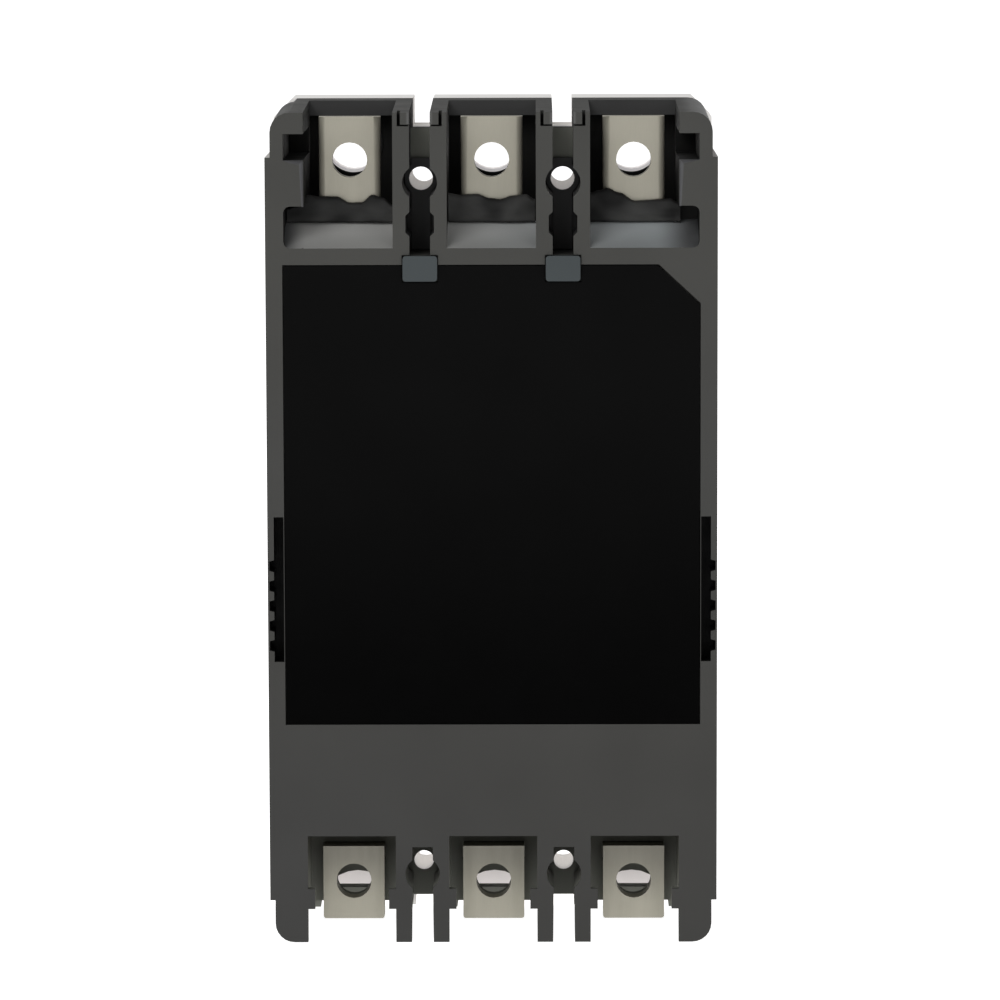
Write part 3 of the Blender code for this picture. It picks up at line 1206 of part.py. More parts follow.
def make_main_springs(materials):
    """Two tension springs from the yoke towards the toggle pin, one on each side."""
    far = turned([(HANDLE_AXIS[0] + SPRING_REACH, 0.0)], HANDLE_AXIS, HANDLE_OFF_ANGLE)[0]
    near = (TOGGLE_POINT[0] + SPRING_STANDOFF, TOGGLE_POINT[1])
    start, end = Vector((0, -near[0], near[1])), Vector((0, -far[0], far[1]))
    across = Vector((1, 0, 0))
    other = (end - start).normalized().cross(across)
    steps = SPRING_TURNS * SPRING_STEPS
    for index, x in enumerate((-SPRING_X, SPRING_X), start=1):
        path = []
        for i in range(steps + 1):
            angle = 2 * math.pi * i / SPRING_STEPS
            round_it = across * math.cos(angle) + other * math.sin(angle)
            path.append(start.lerp(end, i / steps) + across * x + round_it * SPRING_RADIUS)
        spring = tube_along(path, SPRING_WIRE_RADIUS, SPRING_WIRE_SIDES)
        finish(f"main_spring_{index}", spring, materials["steel"], pivot_at(HANDLE_AXIS, x))


def make_latch(materials):
    """The latch lever: a web behind the cradle's tip and a prong on each side of it."""
    latch = plate_x(strap(LATCH_AXIS, LATCH_ELBOW, LATCH_WEB_HALF), -LATCH_OUTER, LATCH_OUTER)
    for low, high in both_sides(LATCH_INNER, LATCH_OUTER):
        add(latch, plate_x(strap(LATCH_ELBOW, LATCH_TIP, LATCH_PRONG_HALF), low, high))
    hole = circle(LATCH_AXIS, LATCH_PIN_RADIUS + LATCH_PIN_PLAY, PIN_SIDES)
    cut(latch, plate_x(hole, -LATCH_OUTER - PAST, LATCH_OUTER + PAST))
    finish("latch_lever", latch, materials["steel"], pivot_at(LATCH_AXIS))
    reach = FRAME_INNER - GAP
    pin = plate_x(circle(LATCH_AXIS, LATCH_PIN_RADIUS, PIN_SIDES), -reach, reach)
    finish("latch_pin", pin, materials["steel"])


# Trip system


def make_trip_bar(materials):
    """The trip bar, with an upper tab for the button and a rear tab for the actuator."""
    depth, height = TRIP_AXIS
    bar = plate_x(circle(TRIP_AXIS, TRIP_BAR_RADIUS, PIN_SIDES), -TRIP_BAR_HALF_LENGTH, TRIP_BAR_HALF_LENGTH)
    upper_tab = rectangle((depth - TRIP_TAB_REAR, height), (depth + TRIP_TAB_FRONT, height + TRIP_TAB_HEIGHT))
    add(bar, plate_x(upper_tab, BUTTON_X - TRIP_TAB_HALF, BUTTON_X + TRIP_TAB_HALF))
    low, high = height - TRIP_TONGUE_BELOW, height + TRIP_TONGUE_ABOVE
    rear_tab = rectangle((depth - TRIP_TONGUE_REACH, low), (depth, high))
    add(bar, plate_x(rear_tab, PLUNGER_X - TRIP_TAB_HALF, PLUNGER_X + TRIP_TAB_HALF))
    finish("trip_bar", bar, materials["mechanism_plastic"], pivot_at(TRIP_AXIS))


def make_trip_button(materials):
    """The push-to-trip button: its stem stops just short of the trip bar's upper tab."""
    centre = (BUTTON_X, BUTTON_HEIGHT)
    stem_rear = TRIP_AXIS[0] + TRIP_TAB_FRONT + STROKE_CLEARANCE
    button = plate_y(circle(centre, BUTTON_RADIUS, BUTTON_SIDES), BUTTON_REAR, FRONT_DEPTH + BUTTON_PROUD)
    add(button, plate_y(circle(centre, BUTTON_STEM_RADIUS, PIN_SIDES), stem_rear, BUTTON_REAR + PAST))
    flange = circle(centre, BUTTON_FLANGE_RADIUS, BUTTON_SIDES)
    add(button, plate_y(flange, BUTTON_FLANGE_REAR, BUTTON_FLANGE_FRONT))
    finish("trip_button", button, materials["button_red"], (BUTTON_X, -stem_rear, BUTTON_HEIGHT))


def make_trip_unit(materials):
    """The electronic trip unit: a case open to the rear, and its board with the dials' holes."""
    case = box(-UNIT_HALF, UNIT_HALF, UNIT_REAR, UNIT_FRONT, UNIT_BOTTOM, UNIT_TOP)
    inner, front = UNIT_HALF - UNIT_WALL, UNIT_FRONT - UNIT_WALL
    floor, roof = UNIT_BOTTOM + UNIT_WALL, UNIT_TOP - UNIT_WALL
    cut(case, box(-inner, inner, UNIT_REAR - PAST, front, floor, roof))
    plunger_way = circle((PLUNGER_X, PLUNGER_DEPTH), PLUNGER_RADIUS + PIN_PLAY, PIN_SIDES)
    cut(case, plate_z(plunger_way, roof - PAST, UNIT_TOP + PAST))
    board = box(-BOARD_HALF, BOARD_HALF, BOARD_REAR, BOARD_REAR + BOARD_THICKNESS, BOARD_LOW, BOARD_HIGH)
    for x in DIAL_XS:
        shaft_way = circle((x, DIAL_HEIGHT), DIAL_SHAFT_RADIUS + DIAL_SHAFT_PLAY, PIN_SIDES)
        cut(case, plate_y(shaft_way, front - PAST, UNIT_FRONT + PAST))
        cut(board, plate_y(shaft_way, BOARD_REAR - PAST, BOARD_REAR + BOARD_THICKNESS + PAST))
    finish("trip_unit_case", case, materials["mechanism_plastic"])
    finish("circuit_board", board, materials["board_green"])


def make_actuator(materials):
    """The tripping coil and the plunger that it throws up against the trip bar."""
    place = (PLUNGER_X, PLUNGER_DEPTH)
    coil = plate_z(circle(place, COIL_RADIUS), COIL_LOW, UNIT_TOP - UNIT_WALL - GAP)
    cut(coil, plate_z(circle(place, PLUNGER_RADIUS + PIN_PLAY, PIN_SIDES), COIL_FLOOR, UNIT_TOP))
    finish("actuator_coil", coil, materials["coil_copper"])
    plunger = plate_z(circle(place, PLUNGER_RADIUS, PIN_SIDES), PLUNGER_LOW, PLUNGER_HIGH)
    finish("actuator_plunger", plunger, materials["steel"], (PLUNGER_X, -PLUNGER_DEPTH, PLUNGER_LOW))


def make_dials(materials):
    """Two setting dials, each with a screwdriver slot across its face."""
    for index, x in enumerate(DIAL_XS, start=1):
        centre = (x, DIAL_HEIGHT)
        dial = plate_y(circle(centre, DIAL_RADIUS), UNIT_FRONT + GAP, DIAL_FRONT)
        add(dial, plate_y(circle(centre, DIAL_SHAFT_RADIUS, PIN_SIDES), DIAL_SHAFT_REAR, UNIT_FRONT + PAST))
        low, high = DIAL_HEIGHT - DIAL_SLOT_HALF_LENGTH, DIAL_HEIGHT + DIAL_SLOT_HALF_LENGTH
        slot_rear = DIAL_FRONT - DIAL_SLOT_DEPTH
        cut(dial, box(x - DIAL_SLOT_HALF, x + DIAL_SLOT_HALF, slot_rear, DIAL_FRONT + PAST, low, high))
        finish(f"setting_dial_{index}", dial, materials["dial_plastic"], (x, -UNIT_FRONT, DIAL_HEIGHT))


def make_flap(materials):
    """The transparent flap over the dials, with a knuckle round each hinge pin."""
    rear, low = FRONT_DEPTH + FLAP_STANDOFF, WINDOW_BOTTOM - FLAP_OVERLAP
    lip = rectangle((rear, low), (rear + FLAP_THICKNESS, FLAP_HINGE[1] - FLAP_TOP_DROP))
    flap = plate_x(lip, -FLAP_HALF, FLAP_HALF)
    add(flap, plate_x(circle(FLAP_HINGE, FLAP_KNUCKLE_RADIUS, PIN_SIDES), -FLAP_HALF, FLAP_HALF))
    grip_front = rear + FLAP_THICKNESS + FLAP_GRIP_PROUD
    grip = rectangle((rear + FLAP_GRIP_SUNK, low - FLAP_GRIP_BELOW), (grip_front, low + FLAP_GRIP_LAP))
    add(flap, plate_x(grip, -FLAP_GRIP_HALF, FLAP_GRIP_HALF))
    for inner, outer in both_sides(FLAP_PIN_INNER - PIN_PLAY, FLAP_HALF + PAST):
        cut(flap, plate_x(circle(FLAP_HINGE, FLAP_PIN_RADIUS + FLAP_PIN_PLAY, PIN_SIDES), inner, outer))
    finish("dial_flap", flap, materials["clear_flap"], pivot_at(FLAP_HINGE))


def make_cover_screws(materials):
    """Four slotted screws that hold the cover to the base."""
    head_rear, head_front = FRONT_DEPTH - SCREW_HEAD_REAR, FRONT_DEPTH - SCREW_HEAD_FRONT
    places = [(side * SCREW_X, height) for side in (-1, 1) for height in SCREW_HEIGHTS]
    for index, centre in enumerate(places, start=1):
        screw = plate_y(circle(centre, SCREW_HEAD, PIN_SIDES), head_rear, head_front)
        shank = circle(centre, SCREW_SHANK, BORE_SIDES)
        add(screw, plate_y(shank, SCREW_TIP_DEPTH, head_rear + SCREW_SHANK_LAP))
        left, right = centre[0] - SCREW_SLOT_HALF, centre[0] + SCREW_SLOT_HALF
        low, high = centre[1] - SCREW_HEAD - PAST, centre[1] + SCREW_HEAD + PAST
        cut(screw, box(left, right, head_front - SCREW_SLOT_DEPTH, head_front + PAST, low, high))
        finish(f"cover_screw_{index}", screw, materials["steel"])


def main():
    clear_scene()
    materials = make_materials()
    make_base(materials)
    make_cover(materials)
    make_rear_fittings(materials)
    make_baffles(materials)
    make_current_paths(materials)
    make_crossbar(materials)
    for side in (0, 1):
        make_side_frame(side + 1, side, materials)
    make_yoke(materials)
    make_handle(materials)
    make_cradle(materials)
    make_links(materials)
    make_main_springs(materials)
    make_latch(materials)
    make_trip_bar(materials)
    make_trip_button(materials)
    make_trip_unit(materials)
    make_actuator(materials)
    make_dials(materials)
    make_flap(materials)
    make_cover_screws(materials)


main()
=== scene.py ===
import json
import math

import bmesh
import bpy
from mathutils import Matrix, Vector, noise


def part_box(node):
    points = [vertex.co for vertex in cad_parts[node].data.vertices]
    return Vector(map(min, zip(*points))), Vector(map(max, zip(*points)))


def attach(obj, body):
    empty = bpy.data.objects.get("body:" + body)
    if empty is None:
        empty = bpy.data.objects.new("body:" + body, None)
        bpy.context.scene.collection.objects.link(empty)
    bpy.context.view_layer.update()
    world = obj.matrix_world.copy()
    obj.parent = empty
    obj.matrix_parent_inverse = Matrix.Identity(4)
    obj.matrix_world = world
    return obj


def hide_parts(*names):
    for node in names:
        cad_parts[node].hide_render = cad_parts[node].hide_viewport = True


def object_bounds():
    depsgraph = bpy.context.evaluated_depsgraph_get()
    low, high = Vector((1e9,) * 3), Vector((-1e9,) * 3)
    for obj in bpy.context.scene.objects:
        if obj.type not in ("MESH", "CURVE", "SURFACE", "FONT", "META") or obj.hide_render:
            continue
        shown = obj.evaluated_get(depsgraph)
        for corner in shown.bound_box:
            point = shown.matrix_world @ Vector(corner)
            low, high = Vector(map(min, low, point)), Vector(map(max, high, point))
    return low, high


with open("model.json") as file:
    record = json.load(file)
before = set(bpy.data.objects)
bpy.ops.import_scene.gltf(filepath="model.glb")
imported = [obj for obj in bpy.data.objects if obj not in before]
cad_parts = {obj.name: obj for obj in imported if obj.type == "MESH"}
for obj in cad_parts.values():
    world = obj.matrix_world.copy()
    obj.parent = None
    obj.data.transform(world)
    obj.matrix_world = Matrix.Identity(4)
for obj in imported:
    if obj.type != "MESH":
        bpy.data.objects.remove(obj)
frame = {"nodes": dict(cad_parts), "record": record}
cad_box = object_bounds()

MM = 0.001
POLE_PITCH = 44.0
BLACK = (0.0, 0.0, 0.0)
WHITE = (1.0, 1.0, 1.0)

# Camera: fitted focal length in millimetres on a 36 mm sensor, place in metres, angles in degrees
LENS = 192.96
CAMERA_AT = (-0.01291, 1.6425, 0.20517)
TILT, YAW, ROLL = 6.820, -0.366, -0.166


def srgb(red, green=None, blue=None):
    """A display colour in 0-255 steps as a linear colour."""
    steps = (red, red if green is None else green, red if blue is None else blue)
    return tuple((v / 255 / 12.92) if v < 10.3 else ((v / 255 + 0.055) / 1.055) ** 2.4 for v in steps)


class Graph:
    """Builds the shader nodes of one material; every value may be a number, a colour or a socket."""

    def __init__(self, name):
        self.material = bpy.data.materials.new(name)
        self.material.use_nodes = True
        self.nodes = self.material.node_tree.nodes
        self.links = self.material.node_tree.links
        self.shader = self.nodes["Principled BSDF"]
        self.coords = self.nodes.new("ShaderNodeTexCoord")
        self.place = self.coords.outputs["Object"]
        self._axes = None

    def feed(self, socket, value):
        if isinstance(value, bpy.types.NodeSocket):
            self.links.new(value, socket)
        elif hasattr(socket.default_value, "__len__"):
            size = len(socket.default_value)
            value = tuple(value) if hasattr(value, "__len__") else (value,) * 3
            socket.default_value = (value + (1.0,))[:size]
        else:
            socket.default_value = value

    def axis(self, index):
        """One object coordinate in millimetres; index 3 is the depth in front of the mounting plane."""
        if self._axes is None:
            split = self.nodes.new("ShaderNodeSeparateXYZ")
            self.links.new(self.place, split.inputs[0])
            self._axes = split.outputs
        if index == 3:
            return self.calc("MULTIPLY", self._axes[1], -1000.0)
        return self.calc("MULTIPLY", self._axes[index], 1000.0)

    def calc(self, operation, first, second=0.0):
        node = self.nodes.new("ShaderNodeMath")
        node.operation = operation
        self.feed(node.inputs[0], first)
        self.feed(node.inputs[1], second)
        return node.outputs[0]

    def span(self, value, low, high, start=0.0, end=1.0):
        """The value mapped smoothly from low-high onto start-end, held at both ends."""
        node = self.nodes.new("ShaderNodeMapRange")
        node.interpolation_type = "SMOOTHSTEP"
        self.feed(node.inputs[0], value)
        for slot, number in enumerate((low, high, start, end), start=1):
            node.inputs[slot].default_value = number
        return node.outputs[0]

    def fade(self, value, low, high):
        """1 below low, falling to 0 above high."""
        return self.span(value, low, high, 1.0, 0.0)

    def band(self, value, low, high, soft=0.4):
        """1 inside low-high and 0 outside."""
        return self.both(self.span(value, low - soft, low + soft), self.fade(value, high - soft, high + soft))

    def both(self, *masks):
        """The overlap of any number of masks."""
        result = masks[0]
        for mask in masks[1:]:
            result = self.calc("MULTIPLY", result, mask)
        return result

    def mix(self, factor, first, second, blend="MIX"):
        node = self.nodes.new("ShaderNodeMix")
        node.data_type = "RGBA"
        node.blend_type = blend
        self.feed(node.inputs[0], factor)
        self.feed(node.inputs[6], first)
        self.feed(node.inputs[7], second)
        return node.outputs[2]

    def scaled(self, colour, factor):
        """The colour made lighter or darker by a factor."""
        return self.mix(1.0, colour, factor, "MULTIPLY")

    def layered(self, colour, *layers):
        """The colour with one layer after another on top, each a mask and its colour."""
        for mask, tone in layers:
            colour = self.mix(mask, colour, tone)
        return colour

    def noise(self, scale, detail=3.0, stretch=(1.0, 1.0, 1.0)):
        """Noise whose cells are about 1/scale millimetres across."""
        place = self.nodes.new("ShaderNodeMapping")
        place.inputs["Scale"].default_value = tuple(1000.0 * scale * s for s in stretch)
        self.links.new(self.place, place.inputs["Vector"])
        node = self.nodes.new("ShaderNodeTexNoise")
        node.inputs["Scale"].default_value = 1.0
        node.inputs["Detail"].default_value = detail
        node.inputs["Roughness"].default_value = 0.55
        self.links.new(place.outputs[0], node.inputs["Vector"])
        return node.outputs[0]

    def bump(self, height, distance, strength=1.0, under=None):
        """Bump whose full height is the distance in millimetres."""
        node = self.nodes.new("ShaderNodeBump")
        node.inputs["Strength"].default_value = strength
        node.inputs["Distance"].default_value = distance * MM
        self.feed(node.inputs["Height"], height)
        if under is not None:
            self.links.new(under, node.inputs["Normal"])
        return node.outputs[0]

    def facing(self, index):
        """The surface's own normal along one object axis."""
        split = self.nodes.new("ShaderNodeSeparateXYZ")
        self.links.new(self.coords.outputs["Normal"], split.inputs[0])
        return split.outputs[index]

    def close(self, colour, roughness, normal=None, **fixed):
        self.feed(self.shader.inputs["Base Color"], colour)
        self.feed(self.shader.inputs["Roughness"], roughness)
        if normal is not None:
            self.links.new(normal, self.shader.inputs["Normal"])
        for name, value in fixed.items():
            self.feed(self.shader.inputs[name.replace("_", " ")], value)
        return self.material


def grained(g, colour, roughness, grain, depth, vary, specular, relief=None):
    """Finishes a moulding: mottled colour, fine grain in relief and uneven gloss; relief is 0.5 mm high."""
    cloud = g.span(g.noise(0.03, 4.0), 0.3, 0.7, 1.0 - vary, 1.0 + vary)
    speck = g.span(g.noise(grain * 1.7, 2.0), 0.3, 0.7, 1.0 - vary * 0.6, 1.0 + vary * 0.6)
    tinted = g.scaled(colour, g.both(cloud, speck))
    rough = g.span(g.noise(0.12, 5.0), 0.25, 0.75, roughness - 0.06, roughness + 0.08)
    fine = g.bump(g.noise(grain, 3.0), depth, 0.6)
    broad = g.bump(g.noise(0.05, 2.0), depth * 4, 0.25, fine)
    if relief is not None:
        broad = g.bump(relief, 0.5, 0.8, broad)
    return g.close(tinted, rough, broad, Specular_IOR_Level=specular)


def moulded(name, colour, roughness, grain=3.0, depth=0.02, vary=0.10, specular=0.35):
    """A moulded thermoset or thermoplastic in one colour."""
    return grained(Graph(name), colour, roughness, grain, depth, vary, specular)


# Most of these zones mark where light or shade is painted.
# Zones of the housing in millimetres: height above the centre, depth in front of the mounting plane, reach
# from the middle plane and place across. Each pair holds a zone's two limits, or both ends of its soft edge.
REAR_FACE_END, REAR_SHADE_HEIGHTS = (0.3, 1.6), (-125.0, 100.0)
SIDE_WALL_START = (63.8, 64.6)
LINE_POCKETS_START, LINE_POCKETS_END = (86.0, 87.0), (126.6, 127.8)
LOAD_POCKETS_END = (-96.0, -95.0)
LOAD_FLOOR_HEIGHTS = (-122.0, -97.0)
BARRIER_REACH = (17.0, 27.0)
BLOCK_EDGE_REACH, BLOCK_EDGE_HEIGHTS, BLOCK_EDGE_DEPTHS = (57.2, 57.6), (99.0, 113.8), (0.05, 1.9)
TAB_REACH, TAB_START, TAB_DEPTH_END = (18.1, 25.9), (124.5, 124.9), (0.4, 0.8)
RAMP_HEIGHTS, RAMP_DEPTHS, RAMP_SHADE_HEIGHTS = (86.0, 95.0), (-1.0, 20.6), (86.6, 93.0)
RAMP_COOL_SPAN, RAMP_ENDS = (-60.0, 30.0), ((-61.5, -50.0), (57.0, 64.5))
CHANNEL_HEIGHTS, CHANNEL_DEPTHS = (113.0, 122.5), (22.0, 25.0)
BEAM_START_DEPTH, BEAM_START = (49.0, 49.8), (124.4, 125.0)
CROWN_START = (126.5, 127.0)
CORNER_ACROSS, CORNER_START = (-67.0, -58.0), (116.0, 121.0)
PAD_INNER_END, PAD_SHADE_HEIGHTS = (-104.0, -99.0), (-122.0, -102.0)
SHOULDER_HEIGHTS, SHOULDER_REACH = (113.0, 116.0), (67.6, 67.9)
VENT_HEIGHTS, VENT_REACH = (-44.0, 5.0), (64.0, 69.1)
# Waves of the braid's strands, in radians to the millimetre
STRAND_WAVE = 5.2
# How far a face turns towards an axis: square on, and more or less level
SQUARE_ON, LEVEL = (0.9, 0.98), (0.8, 0.95)


def ramp_painted_light(g, height, across):
    """Painted light on the line pockets' sloping floors: pale as if lit from above and brighter up the slope,
    cooler to one side, with painted shade at both outer ends.
    """
    tone = g.mix(g.span(across, *RAMP_COOL_SPAN, 0.5, 0.0), srgb(152, 152, 150), srgb(134, 144, 150))
    low_end, high_end = RAMP_ENDS
    outer = g.calc("MAXIMUM", g.span(across, *high_end), g.fade(across, *low_end))
    tone = g.mix(outer, tone, srgb(84, 85, 86))
    return g.scaled(tone, g.span(height, *RAMP_SHADE_HEIGHTS, 0.98, 1.6))


def base_plastic(name, lift=1.0):
    """Dark grey housing with painted light and shade: painted shade low on the rear face and deepening with
    depth in the pockets, paler sloping pocket floors painted as lit, and painted highlights on edges and
    tops.
    """
    g = Graph(name)
    height, depth, across = g.axis(2), g.axis(3), g.axis(0)
    up, rear = g.facing(2), g.facing(1)
    reach = g.calc("ABSOLUTE", across)
    deep = g.span(depth, *REAR_FACE_END)
    inside = g.fade(reach, *SIDE_WALL_START)
    line_end = g.both(g.span(height, *LINE_POCKETS_START), g.fade(height, *LINE_POCKETS_END))
    load_end = g.fade(height, *LOAD_POCKETS_END)
    # painted light and shade in the load pockets: pale towards the load end, darker further in
    load_floor_shading = g.mix(g.span(height, *LOAD_FLOOR_HEIGHTS), srgb(128, 129, 122), srgb(64, 64, 57))
    # painted highlight on the rounded inner edges of the outer blocks, at the rear face
    rolled_edge_highlight = g.both(g.fade(rear, *SQUARE_ON), g.band(depth, *BLOCK_EDGE_DEPTHS, 0.3), inside)
    rolled_edge_highlight = g.both(rolled_edge_highlight, g.span(reach, *BLOCK_EDGE_REACH), g.band(height, *BLOCK_EDGE_HEIGHTS))
    tabs = g.both(g.band(reach, *TAB_REACH), g.span(height, *TAB_START), g.fade(depth, *TAB_DEPTH_END))
    # the sloping floors of the line pockets, which get painted light
    ramp = g.both(g.span(up, 0.75, 0.9), g.band(height, *RAMP_HEIGHTS), g.band(depth, *RAMP_DEPTHS))
    # painted light: the rear-facing floors deep in the barrier channels are painted pale so they do not go
    # dark
    channel_floor_light = g.both(g.band(height, *CHANNEL_HEIGHTS), g.band(depth, *CHANNEL_DEPTHS), g.span(rear, 0.5, 0.8))
    # painted light: the far wall's rear face above the line terminals, deep in the pockets, is painted paler
    # than the housing's own grey
    beam_light = g.both(g.span(depth, *BEAM_START_DEPTH), g.span(height, *BEAM_START))
    # painted light: level top faces at the line end are painted paler, as lit from above
    lit_crown = g.both(g.span(up, *LEVEL), g.span(height, *CROWN_START))
    # painted highlight on the rounded upper corner at one side
    corner = g.both(g.fade(across, *CORNER_ACROSS), g.span(height, *CORNER_START), g.span(up, 0.15, 0.4))
    # painted highlight: the side shoulders' top faces are painted near white
    shoulder_highlight = g.both(g.span(up, *LEVEL), g.band(height, *SHOULDER_HEIGHTS), g.span(reach, *SHOULDER_REACH))
    # painted shade: the side vent slots are painted almost black
    vent_shade = g.both(deep, g.band(height, *VENT_HEIGHTS), g.band(reach, *VENT_REACH, 0.1))
    warm = g.span(g.noise(0.006, 1.0, (0.3, 1.0, 1.0)), 0.35, 0.65, 0.0, 0.35)
    colour = g.layered(
        g.mix(g.span(height, *REAR_SHADE_HEIGHTS), srgb(56), srgb(63, 63, 61)),
        (warm, srgb(62, 61, 56)),
        # painted shade: the line pockets' walls go near black with depth; the barrier channels' walls are
        # lifted back to a mid grey as painted light
        (g.both(deep, line_end, inside), srgb(24, 24, 23)),
        (g.both(deep, line_end, g.band(reach, *BARRIER_REACH)), srgb(66)),
        (rolled_edge_highlight, srgb(84, 84, 86)),
        (g.both(tabs, g.span(rear, *SQUARE_ON)), srgb(84, 84, 83)),
        (g.both(deep, load_end, inside), load_floor_shading),
        (ramp, ramp_painted_light(g, height, across)),
        (channel_floor_light, srgb(126, 127, 119)),
        (beam_light, srgb(74)),
        (lit_crown, srgb(70, 70, 68)),
        (corner, srgb(140)),
        (shoulder_highlight, srgb(226, 223, 219)),
        (vent_shade, srgb(12)),
    )
    return grained(g, g.scaled(colour, lift), 0.62, 3.2, 0.02, 0.05, 0.2)


# Most of these zones mark where a glow or shade is painted.
# Zones of the cover, as above; the distances are from the nearest pole's terminal axis
COVER_ENDS_START = (99.0, 100.0)
BORES_DEPTH = (84.0, 70.0)
MOUNT_TUBE_REACH = (16.0, 28.0)
WELL_HEIGHT = 115.35
DRIVER_TUBE_DEPTH_END = (66.0, 66.4)
DRIVER_TUBE_WALL, DRIVER_TUBE_SURROUND = (8.6, 8.72), (10.4, 10.6)
COVER_TOP_START = (128.8, 129.4)
FACE_DEPTH_START = (103.0, 103.5)
LONG_GROOVE_REACH, LONG_GROOVE_HEIGHTS = (54.0, 54.5), (-90.0, 86.0)
CROSS_GROOVE_END, CROSS_GROOVE_HEIGHTS = (54.0, 54.3), (42.5, 43.0)
RIB_PITCH, RIB_DEPTHS, RIB_HEIGHTS = 4.0, (66.0, 82.0), (-60.0, 60.0)
PLATE_SHADE_HEIGHTS = (-70.0, 60.0)
# Strength of the painted glow in the cover's bores and on its top faces
PAINTED_GLOW = 0.17


def cover_relief(g, height, depth, reach):
    """Masks of the ribs on the cover's flanks and of the fine grooves in its front face."""
    on_front = g.both(g.fade(g.facing(1), -0.9, -0.8), g.span(depth, *FACE_DEPTH_START))
    upright = g.both(g.band(reach, *LONG_GROOVE_REACH, 0.15), g.band(height, *LONG_GROOVE_HEIGHTS, 0.2))
    level = g.both(g.fade(reach, *CROSS_GROOVE_END), g.band(height, *CROSS_GROOVE_HEIGHTS, 0.15))
    groove = g.both(g.calc("MAXIMUM", upright, level), on_front)
    on_side = g.both(g.span(g.calc("ABSOLUTE", g.facing(0)), 0.8, 0.9), g.band(depth, *RIB_DEPTHS))
    wave = g.calc("SINE", g.calc("MULTIPLY", height, 2 * math.pi / RIB_PITCH))
    ribs = g.both(g.span(wave, 0.1, 0.7), on_side, g.band(height, *RIB_HEIGHTS))
    return ribs, groove


def cover_plastic(name):
    """Off-white cover; the bores that reach back through the housing glow a little as painted light, with
    painted shade round the driver tubes and in the load-end wells.
    """
    g = Graph(name)
    depth, height = g.axis(3), g.axis(2)
    reach = g.calc("ABSOLUTE", g.axis(0))
    ends = g.span(g.calc("ABSOLUTE", height), *COVER_ENDS_START)
    lower, upper = g.fade(height, -1.0, 1.0), g.span(height, -1.0, 1.0)
    bores = g.both(g.span(depth, *BORES_DEPTH), ends)
    mount = g.band(reach, *MOUNT_TUBE_REACH)
    well = g.calc("SUBTRACT", 1.0, mount)
    bright = g.calc("MAXIMUM", g.both(lower, mount), g.both(upper, well))
    # The line terminals' driver tubes, behind their wells: a painted glow inside and painted shade outside
    aside = g.calc("MINIMUM", reach, g.calc("ABSOLUTE", g.calc("SUBTRACT", reach, POLE_PITCH)))
    rise = g.calc("SUBTRACT", height, WELL_HEIGHT)
    distance = g.calc("SQRT", g.calc("ADD", g.both(aside, aside), g.both(rise, rise)))
    driver = g.both(g.fade(depth, *DRIVER_TUBE_DEPTH_END), upper, well, ends)
    throat = g.both(g.fade(distance, *DRIVER_TUBE_WALL), driver)
    sleeve_shade = g.both(g.span(distance, *DRIVER_TUBE_WALL), g.fade(distance, *DRIVER_TUBE_SURROUND), driver)
    top = g.both(g.span(height, *COVER_TOP_START), g.span(g.facing(2), 0.5, 0.8))
    # painted light: the bores, the driver tubes' throats and the top faces glow, while the sleeves stay dark
    glow = g.layered(
        BLACK,
        (bores, g.mix(bright, srgb(178, 178, 180), srgb(235, 235, 237))),
        (throat, (2.0, 1.94, 1.97)),
        (sleeve_shade, BLACK),
        (top, (1.2, 1.2, 1.2)),
    )
    g.feed(g.shader.inputs["Emission Color"], glow)
    g.feed(g.shader.inputs["Emission Strength"], PAINTED_GLOW)
    ribs, groove = cover_relief(g, height, depth, reach)
    colour = g.layered(
        srgb(236, 233, 229),
        # painted shade in the front grooves; the ribs are faintly darker
        (g.calc("MAXIMUM", groove, g.calc("MULTIPLY", ribs, 0.12)), srgb(150, 148, 145)),
        # painted shade: the load-end wells are painted greyer
        (g.both(bores, lower, well), srgb(184, 179, 182)),
        # painted shade: a dark ring round each driver tube
        (sleeve_shade, srgb(20)),
    )
    return grained(g, colour, 0.5, 2.6, 0.02, 0.012, 0.3, g.calc("SUBTRACT", ribs, groove))


def plate_plastic(name):
    """Black back plate, painted darker towards its lower end as painted shade."""
    g = Graph(name)
    colour = g.mix(g.span(g.axis(2), *PLATE_SHADE_HEIGHTS), srgb(3), srgb(12))
    return grained(g, colour, 0.6, 4.0, 0.012, 0.08, 0.02)


def metal(name, colour, roughness, brush=(1.0, 1.0, 1.0), scratch=0.012, vary=0.06, metallic=1.0):
    """Plated or bare metal with directional brushing and faint stains."""
    return brushed(Graph(name), colour, roughness, brush, scratch, vary, metallic)


def brushed(g, colour, roughness, brush, scratch, vary, metallic):
    """Finishes a metal; brush stretches the scratches along each axis."""
    stain = g.span(g.noise(0.05, 5.0), 0.3, 0.7, 1.0 - vary, 1.0 + vary)
    lines = g.noise(2.2, 4.0, brush)
    shade = g.both(stain, g.span(lines, 0.25, 0.75, 1.0 - vary * 0.7, 1.0 + vary * 0.7))
    rough = g.span(g.noise(0.25, 4.0, brush), 0.25, 0.75, roughness - 0.06, roughness + 0.09)
    return g.close(g.scaled(colour, shade), rough, g.bump(lines, scratch, 0.5), Metallic=metallic)


def terminal_plating(name, lift=1.0):
    """Satin plating with painted shade, a little darker towards the inner end of each load pad."""
    g = Graph(name)
    height = g.axis(2)
    pad = g.both(g.fade(height, *PAD_INNER_END), g.span(height, *PAD_SHADE_HEIGHTS, 0.0, 0.85))
    colour = g.scaled(g.mix(pad, srgb(171, 167, 153), srgb(128, 125, 115)), lift)
    return brushed(g, colour, 0.42, (2.5, 1.0, 0.15), 0.01, 0.03, 0.35)


